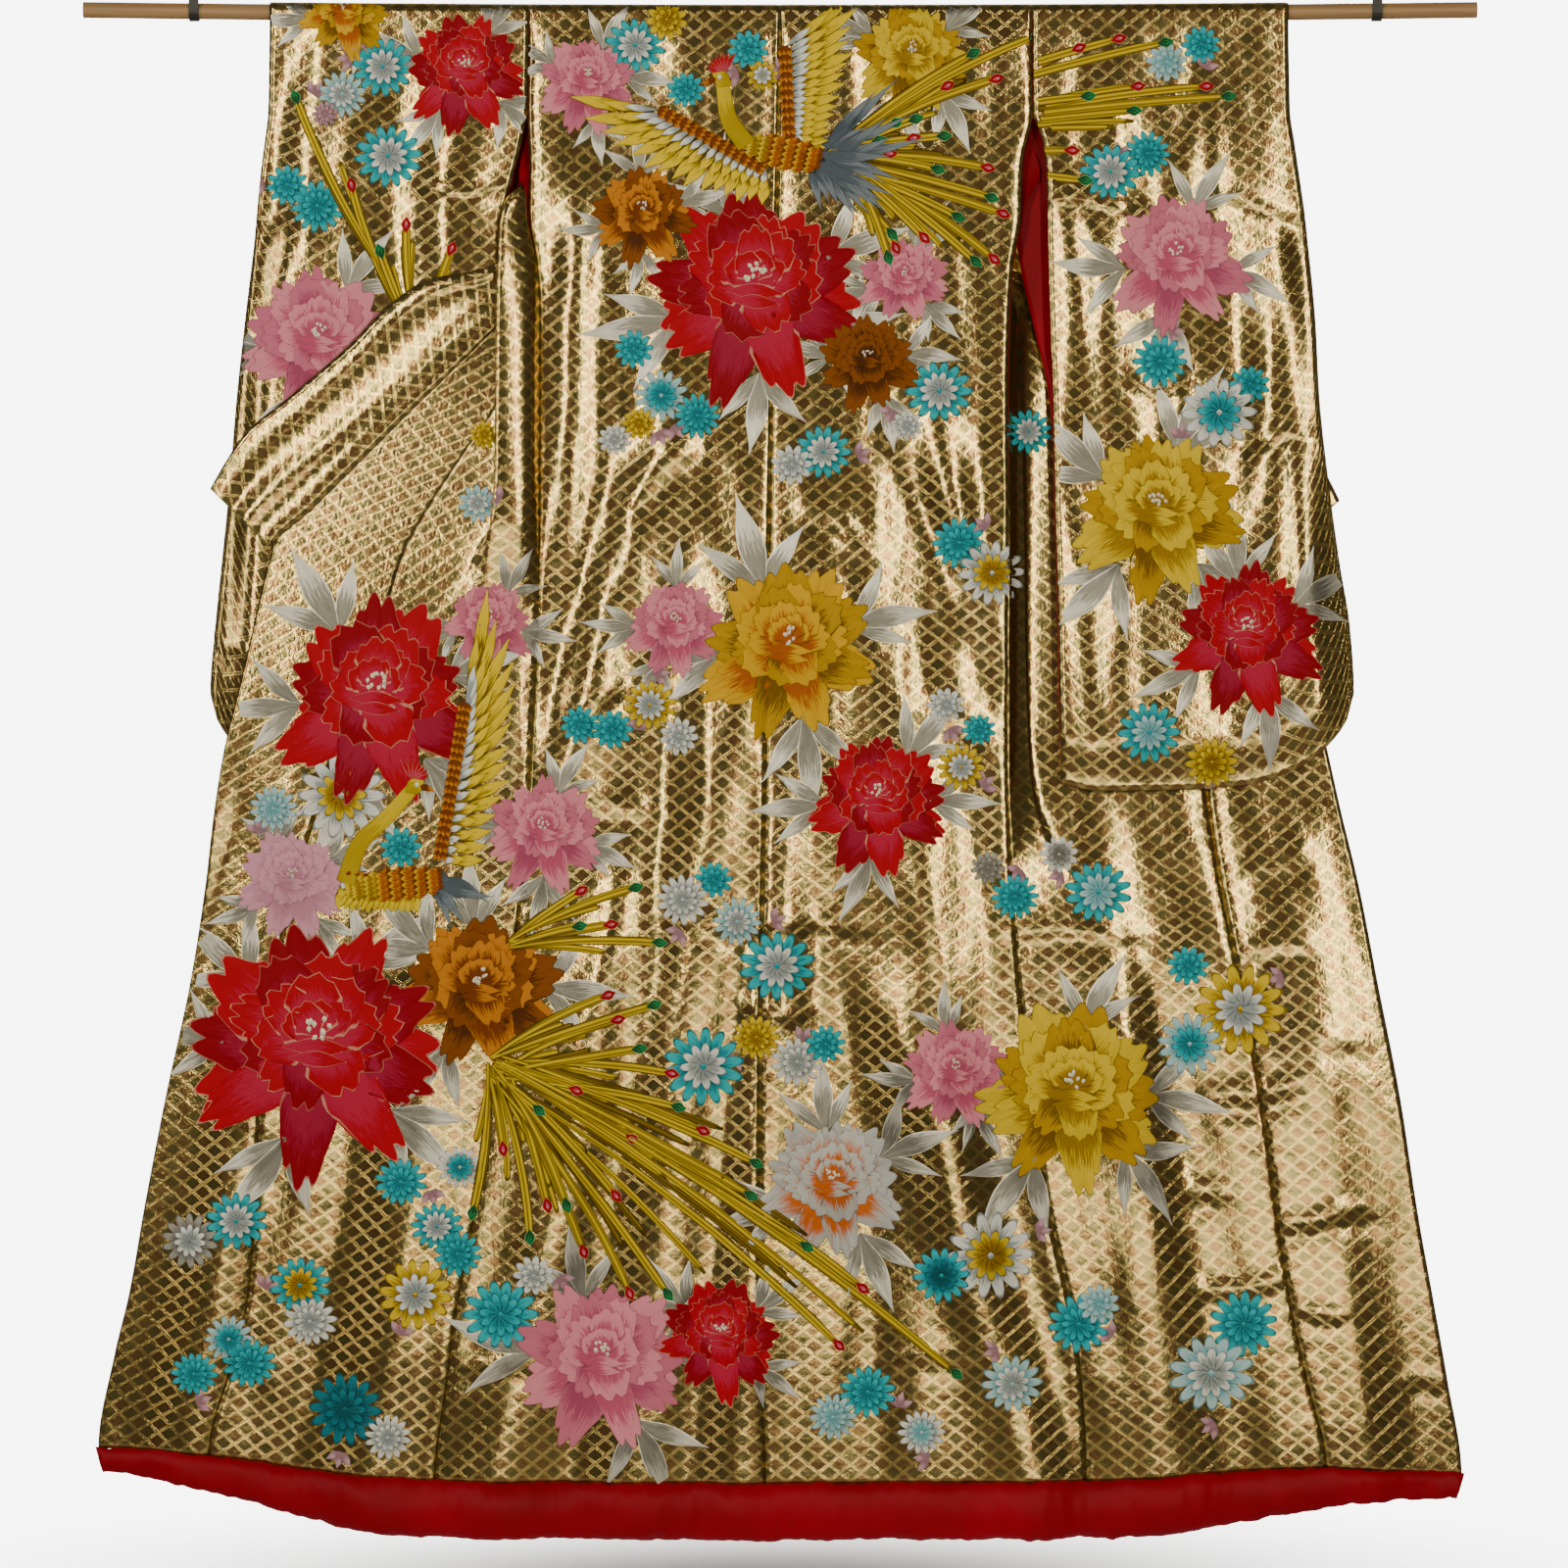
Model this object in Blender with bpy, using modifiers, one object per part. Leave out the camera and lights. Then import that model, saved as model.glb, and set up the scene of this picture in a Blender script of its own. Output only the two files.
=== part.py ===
"""An uchikake wedding kimono of padded silk brocade, hung by its sleeves on a round wooden pole.

Its back faces -Y, and its two fronts are opened out to the sides. The origin is the middle of the pole.
Tables hold millimetres, and everything built from them is in metres, with +Z up.
"""

import math

import bmesh
import bpy
from mathutils import Vector

MM = 0.001

# The pole and its two hooks.
POLE_LENGTH = 1.820
POLE_RADIUS = 0.0105
POLE_SAG = 0.006
POLE_POINTS = 13
HOOK_PLACES = (("hook_left", -0.765), ("hook_right", 0.779))
HOOK_WIDTH = 0.013
HOOK_THICKNESS = 0.0026
HOOK_STEM_TOP = 0.052
HOOK_SWEEP = math.radians(235)
HOOK_COLUMNS = 2
HOOK_STEM_ROWS = 4
HOOK_BEND_ROWS = 14

# The cloth is brocade, a little wadding and the lining, made up as one wall.
CLOTH = 0.0024
CLEARANCE = 0.0003
FOLD_RADIUS = POLE_RADIUS + CLEARANCE + CLOTH / 2
FOLD_ARC = FOLD_RADIUS * math.pi / 2
FOLD_ROWS = 4

# The gaps at the seams: plain ones, the one along the fold, and those where two panels meet at an angle.
SEAM = 0.0004
RIDGE_SEAM = 0.0010
BENT_SEAM = 0.0012
BENT_SEAM_EASE = 0.04

# The depth of the flat cloth below the pole, where it has settled to that, and the lower edge.
HANG_DEPTH = 0.013
HANG_SETTLED = -0.200
HEM_HEIGHT = -1.920
HEM_FOLLOWED_FROM = -1.200
SAG_LOST_AT = -0.300

# The fronts share the back's folds close beside its side seams, and lower down all the way across.
BESIDE_SEAM_FROM = -0.240
BESIDE_SEAM_TO = -0.300
BESIDE_SEAM_ACROSS = 0.15
SHARED_FOLDS_FROM = -0.750
SHARED_FOLDS_TO = -1.100
PLEAT_FULLNESS = 0.050

# The hem roll is a fat, flattened tube of lining round a core of wadding.
ROLL_TALL = 0.074
ROLL_THICK = 0.036
ROLL_PROUD = 0.004
ROLL_END_TALL = 0.46
ROLL_END_SPAN = 0.22
ROLL_SIDES = 10
ROLL_RINGS = 56

# The sections of the body are level cuts. Each span is cut into equal steps: top, bottom, steps.
COLLAR_POINT = -0.345
COLLAR_END = -0.700
OKUMI_FREE = -0.440
BODY_SPANS = ((0.0, COLLAR_POINT, 10), (COLLAR_POINT, COLLAR_END, 9), (COLLAR_END, HEM_HEIGHT, 15))
BACK_COLUMNS = 10
FRONT_COLUMNS = 18
BODY_ROWS = FOLD_ROWS + sum(steps for _, _, steps in BODY_SPANS)
OKUMI_COLUMNS = 4
COLLAR_COLUMNS = 3

# The neck band hangs inside, below the neck's edge.
NECK_HALF = 0.088
NECK_LOW_HALF = 0.072
NECK_DROP = 0.058
NECK_LEAN = 0.004
NECK_COLUMNS = 6
NECK_ROWS = 3

# A back and a front are one length of cloth over the pole. They are made in stretches, divided where
# the cloth bends, so that each stretch is a plain shape. Columns count from the centre seam on the back
# and from the side seam on the front, and rows from the ridge.
STRETCH_GAP = 0.0012
BACK_STRETCHES = (
    # name, first_column, last_column, first_row, last_row
    ("_fold", 0, BACK_COLUMNS, 0, FOLD_ROWS),
    ("", 0, BACK_COLUMNS, FOLD_ROWS, 24),
    ("_skirt", 0, BACK_COLUMNS, 24, BODY_ROWS),
)
FRONT_LEFT_STRETCHES = (
    # name, first_column, last_column, first_row, last_row
    ("_fold", 0, FRONT_COLUMNS, 0, FOLD_ROWS),
    ("", 0, FRONT_COLUMNS, FOLD_ROWS, 24),
    ("_skirt", 0, FRONT_COLUMNS, 24, BODY_ROWS),
)
FRONT_RIGHT_STRETCHES = (
    # name, first_column, last_column, first_row, last_row
    ("_fold", 0, FRONT_COLUMNS, 0, FOLD_ROWS),
    ("_top", 0, FRONT_COLUMNS, FOLD_ROWS, 14),
    ("_turn", 0, 12, 14, 25),
    ("_turn_low", 0, 12, 25, 28),
    ("", 12, FRONT_COLUMNS, 14, 28),
    ("_skirt", 0, FRONT_COLUMNS, 28, BODY_ROWS),
)

OKUMI_ROWS = BODY_ROWS - FOLD_ROWS - BODY_SPANS[0][2]
OKUMI_LEFT_STRETCHES = (
    # name, first_column, last_column, first_row, last_row
    ("_tip", 0, OKUMI_COLUMNS, 0, 1),
    ("", 0, OKUMI_COLUMNS, 1, OKUMI_ROWS),
)
OKUMI_RIGHT_STRETCHES = (
    # name, first_column, last_column, first_row, last_row
    ("", 0, OKUMI_COLUMNS, 0, OKUMI_ROWS),
)

# The sleeves' two halves meet at the bottom, and at the outer edge below the opening for the hand.
SLEEVE_COLUMNS = 8
SLEEVE_ROWS = 22
SLEEVE_MEET = 0.00135
CUFF_DEPTH = -0.240
CUFF_EASE = 0.080
OUTER_CLOSED_FROM = 0.86
BOTTOM_CLOSED_FROM = 0.93


def easy(start, end, value):
    """0 before start, 1 after end, and an even S-shaped step between them."""
    part = min(1.0, max(0.0, (value - start) / (end - start)))
    return part * part * (3 - 2 * part)


class Table:
    """Rows of named columns, in millimetres. The first column is the one that the others are read by."""

    def __init__(self, columns, rows):
        self.names = columns
        self.rows = sorted(rows)

    def column(self, name):
        place = self.names.index(name)
        return [row[place] for row in self.rows]

    def read(self, name, at):
        """The column's value, in metres, on a smooth curve that never overshoots its rows."""
        keys = self.column(self.names[0])
        values = self.column(name)
        at = min(max(at / MM, keys[0]), keys[-1])
        step = max(i for i in range(len(keys) - 1) if keys[i] <= at)
        run = keys[step + 1] - keys[step]
        part = (at - keys[step]) / run
        slopes = [self.slope(keys, values, i) * run for i in (step, step + 1)]
        start, end = values[step], values[step + 1]
        turn = start * (2 * part**3 - 3 * part**2 + 1) + end * (3 * part**2 - 2 * part**3)
        lean = slopes[0] * (part**3 - 2 * part**2 + part) + slopes[1] * (part**3 - part**2)
        return (turn + lean) * MM

    @staticmethod
    def slope(keys, values, i):
        if i in (0, len(keys) - 1):
            return 0.0
        before = (values[i] - values[i - 1]) / (keys[i] - keys[i - 1])
        after = (values[i + 1] - values[i]) / (keys[i + 1] - keys[i])
        if before * after <= 0:
            return 0.0
        return 2 * before * after / (before + after)


# Where the back's two side seams and its centre seam run.
BODY = Table(
    ("height", "left", "centre", "right"),
    (
        (0, -328, 0, 329),
        (-128, -330, -2, 330),
        (-200, -327, -3, 316),
        (-260, -328, -4, 315),
        (-330, -317, -7, 303),
        (-400, -314, -9, 299),
        (-500, -314, -11, 297),
        (-698, -315, -14, 298),
        (-830, -318, -17, 297),
        (-968, -326, -19, 297),
        (-1133, -338, -23, 302),
        (-1261, -352, -26, 311),
        (-1414, -376, -27, 330),
        (-1568, -399, -27, 351),
        (-1706, -425, -26, 381),
        (-1793, -436, -24, 393),
        (-1920, -451, -20, 399),
    ),
)

# The seams that sew the overlaps (okumi) to the fronts, and the free front edges below the collar.
OKUMI_SEAMS = Table(
    ("height", "left", "right"),
    (
        (-345, -321, 321),
        (-410, -343, 343),
        (-509, -369, 366),
        (-571, -411, 400),
        (-646, -460, 440),
        (-700, -490, 466),
        (-795, -520, 500),
        (-864, -547, 522),
        (-968, -584, 553),
        (-1050, -608, 564),
        (-1133, -634, 576),
        (-1261, -659, 600),
        (-1414, -678, 626),
        (-1568, -684, 646),
        (-1706, -695, 666),
        (-1793, -715, 684),
        (-1920, -744, 711),
    ),
)
FRONT_EDGES = Table(
    ("height", "left", "right"),
    (
        (-700, -662, 655),
        (-726, -669, 661),
        (-795, -685, 676),
        (-864, -701, 694),
        (-968, -726, 718),
        (-1050, -739, 736),
        (-1133, -749, 755),
        (-1261, -769, 779),
        (-1414, -800, 808),
        (-1568, -827, 831),
        (-1706, -849, 855),
        (-1793, -868, 870),
        (-1920, -889, 889),
    ),
)

# The depth of the fronts' main layer. The left front lies over its sleeve, and the right one behind it.
FRONT_DEPTH = Table(
    ("height", "left", "right"),
    (
        (-345, -5, 34),
        (-410, -20, 25),
        (-509, -22, 21),
        (-700, -25, 20),
        (-900, -24, 18),
        (-1010, -22, 17),
        (-1110, -18, 2),
        (-1250, -14, -9),
        (-1920, -13, -13),
    ),
)

# The left front between its side seam and its front edge. Beside the seam it stands forward in a
# flat strip, then turns back under itself (pleat, under, tuck). Above that it loops round behind the back
# (fold). Each place is a distance out from the back's side seam, with its depth.
FRONT_LEFT = Table(
    (
        ("height", "side", "side_y", "strip", "strip_y", "pleat", "pleat_y")
        + ("under", "under_y", "tuck", "tuck_y", "fold", "fold_y")
    ),
    (
        (0, 0, 12, -24, 12, -50, 12, -85, 12, -125, 12, -175, 12),
        (-100, 0, 13, -20, 14, -42, 15, -72, 16, -105, 17, -148, 22),
        (-160, 5, 9, -4, 11, -14, 12, -38, 14, -72, 18, -120, 28),
        (-207, 14, -6, 6, -3, -4, 0, -25, 5, -52, 12, -94, 28),
        (-241, 4, -14, 15, -20, 26, -21, 26, -14, 6, -7, -66, 20),
        (-266, 3, -14, 18, -22, 33, -26, 33, -19, 14, -12, -49, 14),
        (-345, 2, -14, 16, -27, 48, -36, 49, -29, 25, -21, 6, -10),
        (-410, 2, -14, 16, -31, 51, -39, 52, -32, 32, -28, 20, -24),
        (-509, 2, -14, 16, -32, 52, -40, 53, -33, 37, -31, 36, -25),
        (-600, 2, -14, 16, -32, 53, -39, 54, -33, 43, -31, 45, -25),
        (-660, 2, -14, 18, -31, 57, -37, 60, -33, 56, -30, 63, -26),
        (-700, 1, -13, 20, -27, 62, -32, 70, -30, 76, -28, 92, -26),
        (-740, 1, -13, 22, -23, 62, -27, 78, -27, 92, -26, 112, -25),
        (-800, 1, -13, 30, -18, 62, -21, 94, -23, 122, -24, 150, -24),
        (-1920, 1, -13, 45, -13, 95, -13, 140, -13, 190, -13, 240, -13),
    ),
)

# The right front: it turns back round the back's side seam and lies behind the sleeve.
FRONT_RIGHT = Table(
    ("height", "side", "side_y", "turn", "turn_y", "lie", "lie_y", "fold", "fold_y"),
    (
        (0, 0, 12, -55, 12, -110, 12, -170, 12),
        (-100, 0, 13, -40, 17, -85, 22, -140, 26),
        (-160, 6, 12, -28, 16, -68, 24, -108, 34),
        (-205, 24, 7, -12, 8, -52, 18, -88, 32),
        (-255, 3, -10, -10, 3, -34, 16, -66, 30),
        (-345, 2, -11, -2, -1, -8, 10, -8, 22),
        (-410, 2, -11, 5, -1, 10, 8, 22, 18),
        (-509, 2, -11, 6, -1, 16, 8, 32, 16),
        (-900, 2, -11, 8, -1, 24, 9, 52, 16),
        (-1010, 2, -11, 12, -2, 30, 6, 60, 14),
        (-1120, 1, -12, 24, -10, 56, -6, 110, -1),
        (-1250, 1, -13, 50, -12, 110, -11, 180, -10),
        (-1920, 1, -13, 60, -13, 130, -13, 220, -13),
    ),
)

# The collar's far edge, read by the height of the seam that sews it on.
COLLAR_LEFT = Table(
    ("height", "seam_x", "seam_y", "edge_x", "edge_y", "edge_z"),
    (
        (0, -88, 12, -72, 16, -58),
        (-100, -150, 30, -122, 46, -124),
        (-160, -200, 41, -198, 70, -168),
        (-215, -245, 38, -262, 56, -190),
        (-266, -283, 24, -306, 28, -236),
        (-345, -327, -4, -355, -14, -316),
        (-385, -346, -17, -389, -20, -334),
        (-426, -385, -22, -457, -21, -348),
        (-470, -430, -22, -515, -22, -386),
        (-517, -479, -22, -562, -23, -434),
        (-588, -550, -23, -637, -24, -499),
        (-647, -610, -24, -698, -26, -550),
        (-700, -662, -25, -742, -29, -621),
    ),
)
COLLAR_RIGHT = Table(
    ("height", "seam_x", "seam_y", "edge_x", "edge_y", "edge_z"),
    (
        (0, 88, 12, 72, 16, -58),
        (-100, 150, 30, 122, 46, -124),
        (-160, 200, 42, 198, 74, -168),
        (-215, 245, 44, 262, 70, -190),
        (-266, 283, 42, 306, 60, -236),
        (-345, 327, 34, 355, 42, -316),
        (-385, 346, 28, 389, 32, -334),
        (-426, 385, 23, 455, 25, -350),
        (-470, 428, 21, 511, 23, -390),
        (-517, 476, 20, 558, 22, -438),
        (-588, 546, 20, 632, 21, -503),
        (-647, 604, 20, 690, 22, -556),
        (-700, 655, 20, 733, 24, -634),
    ),
)

# The four long edges of the two sleeves, and how their bottoms round up to the outer edge.
SLEEVES = Table(
    ("height", "left_inner", "left_outer", "right_inner", "right_outer"),
    (
        (0, -330, -666, 331, 663),
        (-128, -332, -668, 332, 665),
        (-170, -338, -673, 343, 671),
        (-210, -348, -678, 348, 677),
        (-280, -364, -685, 349, 687),
        (-400, -367, -699, 352, 699),
        (-500, -368, -710, 356, 704),
        (-620, -370, -720, 358, 717),
        (-720, -371, -730, 361, 731),
        (-800, -372, -738, 363, 744),
        (-880, -373, -744, 364, 749),
        (-1015, -374, -744, 366, 749),
    ),
)
SLEEVE_BOTTOM = Table(
    ("across", "drop"),
    (
        (0, -1005),
        (120, -1014),
        (450, -1012),
        (640, -1006),
        (790, -988),
        (880, -966),
        (950, -938),
        (985, -914),
        (1000, -888),
    ),
)

# The level of the lower edge of the brocade across the hem.
HEM = Table(
    ("across", "height"),
    (
        (-889, -1871),
        (-742, -1883),
        (-600, -1903),
        (-450, -1916),
        (-20, -1920),
        (398, -1917),
        (709, -1899),
        (889, -1906),
    ),
)

# The large soft folds of the hanging cloth: straight lines from a top to a foot, a ridge where the
# rise is positive and a valley where it is negative.
FOLDS = (
    # top_x, top_z, foot_x, foot_z, rise, half_width
    (-262, -150, -284, -700, 7, 26),
    (-118, -420, -306, -1100, 9, 44),
    (-196, -460, -322, -1010, -6, 30),
    (-40, -520, -190, -1920, 10, 46),
    (-104, -620, -270, -1920, -6, 36),
    (-178, -980, -370, -1920, 10, 44),
    (45, -480, -50, -1920, 7, 40),
    (0, -760, -120, -1920, -5, 30),
    (62, -1050, 128, -1920, -6, 36),
    (88, -500, 262, -1620, 11, 44),
    (136, -510, 300, -960, -7, 34),
    (196, -460, 262, -900, 7, 32),
    (120, -1180, 332, -1920, 11, 42),
    (190, -1160, 400, -1920, -6, 34),
    (-420, -1080, -540, -1920, 10, 48),
    (-486, -1000, -632, -1920, -6, 40),
    (-640, -1120, -775, -1920, 9, 46),
    (410, -1060, 500, -1920, 9, 46),
    (468, -1120, 596, -1920, -6, 38),
    (652, -1120, 775, -1920, 9, 48),
)


def drape(x, z):
    """How far the cloth stands out towards -Y at a place, from all the folds there."""
    total = 0.0
    for top_x, top_z, foot_x, foot_z, rise, half_width in FOLDS:
        along = (z / MM - top_z) / (foot_z - top_z)
        if along <= 0 or along > 1.3:
            continue
        middle = top_x + (foot_x - top_x) * along
        strength = easy(0.0, 0.4, along) * (1 if foot_z == -1920 else 1 - easy(0.7, 1.2, along))
        away = (x / MM - middle) / half_width
        total += rise * strength * math.exp(-away * away)
    return total * MM


def settle(point):
    """Lets the lower edges follow the hem's line, and the upper ones the sag of the pole."""
    lift = HEM.read("height", point.x) - HEM_HEIGHT
    sag = POLE_SAG * (2 * point.x / POLE_LENGTH) ** 2
    point.z += lift * easy(HEM_FOLLOWED_FROM, HEM_HEIGHT, point.z)
    point.z += sag * (1 - easy(0, SAG_LOST_AT, point.z))
    return point


def body_levels():
    """The heights of the level cuts below the fold on the pole."""
    levels = [0.0]
    for top, bottom, steps in BODY_SPANS:
        levels += [top + (bottom - top) * (i + 1) / steps for i in range(steps)]
    return levels


LEVELS = body_levels()
COLLAR_POINT_ROW = BODY_SPANS[0][2]
COLLAR_END_ROW = COLLAR_POINT_ROW + BODY_SPANS[1][2]


def over_pole(x, side, part):
    """A place on the fold over the pole: part 0 is the ridge, and part 1 is level with the pole's middle."""
    turn = (RIDGE_SEAM / 2 + part * (FOLD_ARC - RIDGE_SEAM / 2)) / FOLD_RADIUS
    return Vector((x, side * FOLD_RADIUS * math.sin(turn), FOLD_RADIUS * math.cos(turn)))


def row_level(row):
    """The height of a row of the grid, where rows up to FOLD_ROWS lie on the pole."""
    return LEVELS[max(0, row - FOLD_ROWS)]


def through(places, part):
    """A place on a smooth curve, evenly timed, from the second place to the last but one."""
    last = len(places) - 3
    step = min(int(part * last), last - 1)
    part = part * last - step
    before, start, end, after = places[step : step + 4]
    square, cube = part * part, part**3
    return 0.5 * (
        2 * start
        + (end - before) * part
        + (2 * before - 5 * start + 4 * end - after) * square
        + (3 * start - before - 3 * end + after) * cube
    )


def material(name, colour, roughness, metallic=0.0):
    finish = bpy.data.materials.new(name)
    finish.use_nodes = True
    shader = finish.node_tree.nodes["Principled BSDF"]
    shader.inputs["Base Color"].default_value = (*colour, 1)
    shader.inputs["Roughness"].default_value = roughness
    shader.inputs["Metallic"].default_value = metallic
    return finish


def add_object(collection, name, data, finish):
    made = bpy.data.objects.new(name, data)
    made.data.materials.append(finish)
    collection.objects.link(made)
    return made


def add_sheet(collection, name, finish, columns, rows, place, thickness=CLOTH, stretch=None):
    """A wall of cloth: a flat grid whose points are carried to their places, then given its thickness.

    place takes how far across the sheet a point is, from 0 to 1, and the number of its row from the top.
    stretch is the first and last column and row, where only that stretch of the sheet is made.
    """
    left, right, top, bottom = stretch or (0, columns, 0, rows)
    shape = bmesh.new()
    bmesh.ops.create_grid(shape, x_segments=right - left, y_segments=bottom - top, size=0.5)
    for vertex in shape.verts:
        column = left + round((vertex.co.x + 0.5) * (right - left))
        row = top + round((0.5 - vertex.co.y) * (bottom - top))
        point = place(column / columns, row)
        inward_column = column + (column == left > 0) - (column == right < columns)
        inward_row = row + (row == top > 0) - (row == bottom < rows)
        for inward in {(inward_column, row), (column, inward_row)} - {(column, row)}:
            way = place(inward[0] / columns, inward[1]) - place(column / columns, row)
            point += way.normalized() * STRETCH_GAP / 2
        vertex.co = point
    mesh = bpy.data.meshes.new(name)
    shape.to_mesh(mesh)
    shape.free()
    mesh.shade_smooth()
    made = add_object(collection, name, mesh, finish)
    wall = made.modifiers.new("Wall", "SOLIDIFY")
    wall.thickness = thickness
    wall.offset = 0
    return made


def within(across, width):
    """Keeps the sheet's two long edges half a seam inside its seam lines."""
    inset = SEAM / 2 / width
    return inset + across * (1 - 2 * inset)


def back_place(side):
    """The back's half panel: side is -1 for the left one and 1 for the right one."""
    seam = "left" if side < 0 else "right"

    def place(across, row):
        level = row_level(row)
        width = abs(BODY.read(seam, level) - BODY.read("centre", level))
        across = within(across, width)
        outer = BODY.read(seam, level)
        x = BODY.read("centre", level) * (1 - across) + outer * across
        if row < FOLD_ROWS:
            return settle(over_pole(x, -1, row / FOLD_ROWS))
        rest = FOLD_RADIUS + (HANG_DEPTH - FOLD_RADIUS) * easy(0, HANG_SETTLED, level)
        return settle(Vector((x, -rest - drape(x, level), level)))

    return place


def collar_line(side, level):
    """The collar's seam at a height, and its far edge across from there."""
    collar = COLLAR_LEFT if side < 0 else COLLAR_RIGHT
    seam = Vector((collar.read("seam_x", level), collar.read("seam_y", level), level))
    edge = Vector([collar.read("edge_" + axis, level) for axis in "xyz"])
    return seam, edge


def okumi_line(side, level):
    """The overlap's seam and its outer edge, which is the collar's seam as far down as that goes."""
    name = "left" if side < 0 else "right"
    depth = FRONT_DEPTH.read(name, level)
    inner = Vector((OKUMI_SEAMS.read(name, level), depth, level))
    if level > COLLAR_END:
        return inner, collar_line(side, level)[0]
    return inner, Vector((FRONT_EDGES.read(name, level), depth, level))


def front_place(side):
    table = FRONT_LEFT if side < 0 else FRONT_RIGHT
    seam = "left" if side < 0 else "right"
    stations = [name for name in table.names[1:] if not name.endswith("_y")]

    def place(across, row):
        level = row_level(row)
        start = BODY.read(seam, level)
        places = []
        for name in stations:
            out = table.read(name, level)
            places.append(Vector((start + side * out, table.read(name + "_y", level), level)))
        if level > COLLAR_POINT:
            end, beyond = collar_line(side, level)
        else:
            end, beyond = okumi_line(side, level)
        width = (end - places[0]).length + PLEAT_FULLNESS
        before = 2 * places[0] - places[1]
        beyond = end + (beyond - end).normalized() * (end - places[-1]).length
        point = through([before] + places + [end, beyond], within(across, width))
        if row <= FOLD_ROWS:
            return settle(over_pole(point.x, 1, row / FOLD_ROWS))
        beside = easy(BESIDE_SEAM_FROM, BESIDE_SEAM_TO, level) * (1 - easy(0, BESIDE_SEAM_ACROSS, across))
        lower = easy(SHARED_FOLDS_FROM, SHARED_FOLDS_TO, level)
        point.y -= drape(point.x, level) * max(beside, lower)
        point.z = level
        return settle(point)

    return place


def okumi_place(side):
    def place(across, row):
        level = LEVELS[COLLAR_POINT_ROW + row]
        inner, outer = okumi_line(side, level)
        width = (outer - inner).length
        clear = BENT_SEAM * (1 - easy(OKUMI_FREE, OKUMI_FREE - BENT_SEAM_EASE, level)) / width
        point = inner.lerp(outer, clear + within(across, width) * (1 - clear))
        point.y -= drape(point.x, level) * easy(SHARED_FOLDS_FROM, SHARED_FOLDS_TO, level)
        return settle(point)

    return place


def collar_place(side):
    def place(across, row):
        seam, edge = collar_line(side, LEVELS[row])
        width = (edge - seam).length
        bent = BENT_SEAM * (1 - easy(COLLAR_POINT, COLLAR_POINT - BENT_SEAM_EASE, LEVELS[row]))
        clear = (SEAM / 2 + bent) / width
        return settle(seam.lerp(edge, clear + across * (1 - clear)))

    return place


def neck_place(across, row):
    part = 2 * across - 1
    if row < FOLD_ROWS:
        return settle(over_pole(part * (NECK_HALF - SEAM), 1, row / FOLD_ROWS))
    down = (row - FOLD_ROWS) / NECK_ROWS
    half = NECK_HALF + (NECK_LOW_HALF - NECK_HALF) * down - SEAM
    depth = FOLD_RADIUS + NECK_LEAN * down
    return settle(Vector((part * half, depth, -NECK_DROP * down)))


def sleeve_place(hand, side):
    """Half a sleeve: hand is "left" or "right", and side is -1 for the half towards -Y and 1 for the other."""

    def place(across, row):
        down = max(0.0, (row - FOLD_ROWS) / (SLEEVE_ROWS - FOLD_ROWS))
        level = down * SLEEVE_BOTTOM.read("drop", across)
        inner = SLEEVES.read(hand + "_inner", level)
        outer = SLEEVES.read(hand + "_outer", level)
        x = inner + (outer - inner) * across
        x += math.copysign(SEAM * (1 - across), outer - inner)
        if row < FOLD_ROWS:
            return settle(over_pole(x, side, row / FOLD_ROWS))
        sewn = easy(OUTER_CLOSED_FROM, 1, across) * easy(CUFF_DEPTH, CUFF_DEPTH - CUFF_EASE, level)
        closed = max(sewn, easy(BOTTOM_CLOSED_FROM, 1, down))
        depth = FOLD_RADIUS + (SLEEVE_MEET - FOLD_RADIUS) * closed
        return settle(Vector((x, side * depth, level)))

    return place


def add_hem_roll(collection, finish):
    """A ball drawn out along the hem: its two poles are the roll's rounded ends."""
    shape = bmesh.new()
    bmesh.ops.create_uvsphere(shape, u_segments=ROLL_SIDES, v_segments=ROLL_RINGS, radius=1)
    left = FRONT_EDGES.read("left", HEM_HEIGHT) - ROLL_PROUD
    right = FRONT_EDGES.read("right", HEM_HEIGHT) + ROLL_PROUD
    for vertex in shape.verts:
        along = math.acos(max(-1.0, min(1.0, vertex.co.z))) / math.pi
        x = left + (right - left) * along
        around = math.atan2(vertex.co.y, vertex.co.x)
        girth = min(1.0, math.hypot(vertex.co.x, vertex.co.y) * 100)
        taper = girth * (ROLL_END_TALL + (1 - ROLL_END_TALL) * easy(0, ROLL_END_SPAN, min(along, 1 - along)))
        tall = ROLL_TALL * taper / 2
        middle = HEM.read("height", x) - CLEARANCE - tall
        depth = -HANG_DEPTH - drape(x, HEM_HEIGHT)
        out = ROLL_THICK * taper / 2 * math.cos(around)
        vertex.co = Vector((x, depth + out, middle - tall * math.sin(around)))
    mesh = bpy.data.meshes.new("hem_roll")
    shape.to_mesh(mesh)
    shape.free()
    mesh.shade_smooth()
    return add_object(collection, "hem_roll", mesh, finish)


def add_pole(collection, finish):
    line = bpy.data.curves.new("pole", "CURVE")
    line.dimensions = "3D"
    line.bevel_depth = POLE_RADIUS
    line.bevel_resolution = 4
    line.use_fill_caps = True
    route = line.splines.new("POLY")
    route.points.add(POLE_POINTS - 1)
    for number, point in enumerate(route.points):
        share = 2 * number / (POLE_POINTS - 1) - 1
        point.co = (share * POLE_LENGTH / 2, 0, POLE_SAG * share * share, 1)
    return add_object(collection, "pole", line, finish)


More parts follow.
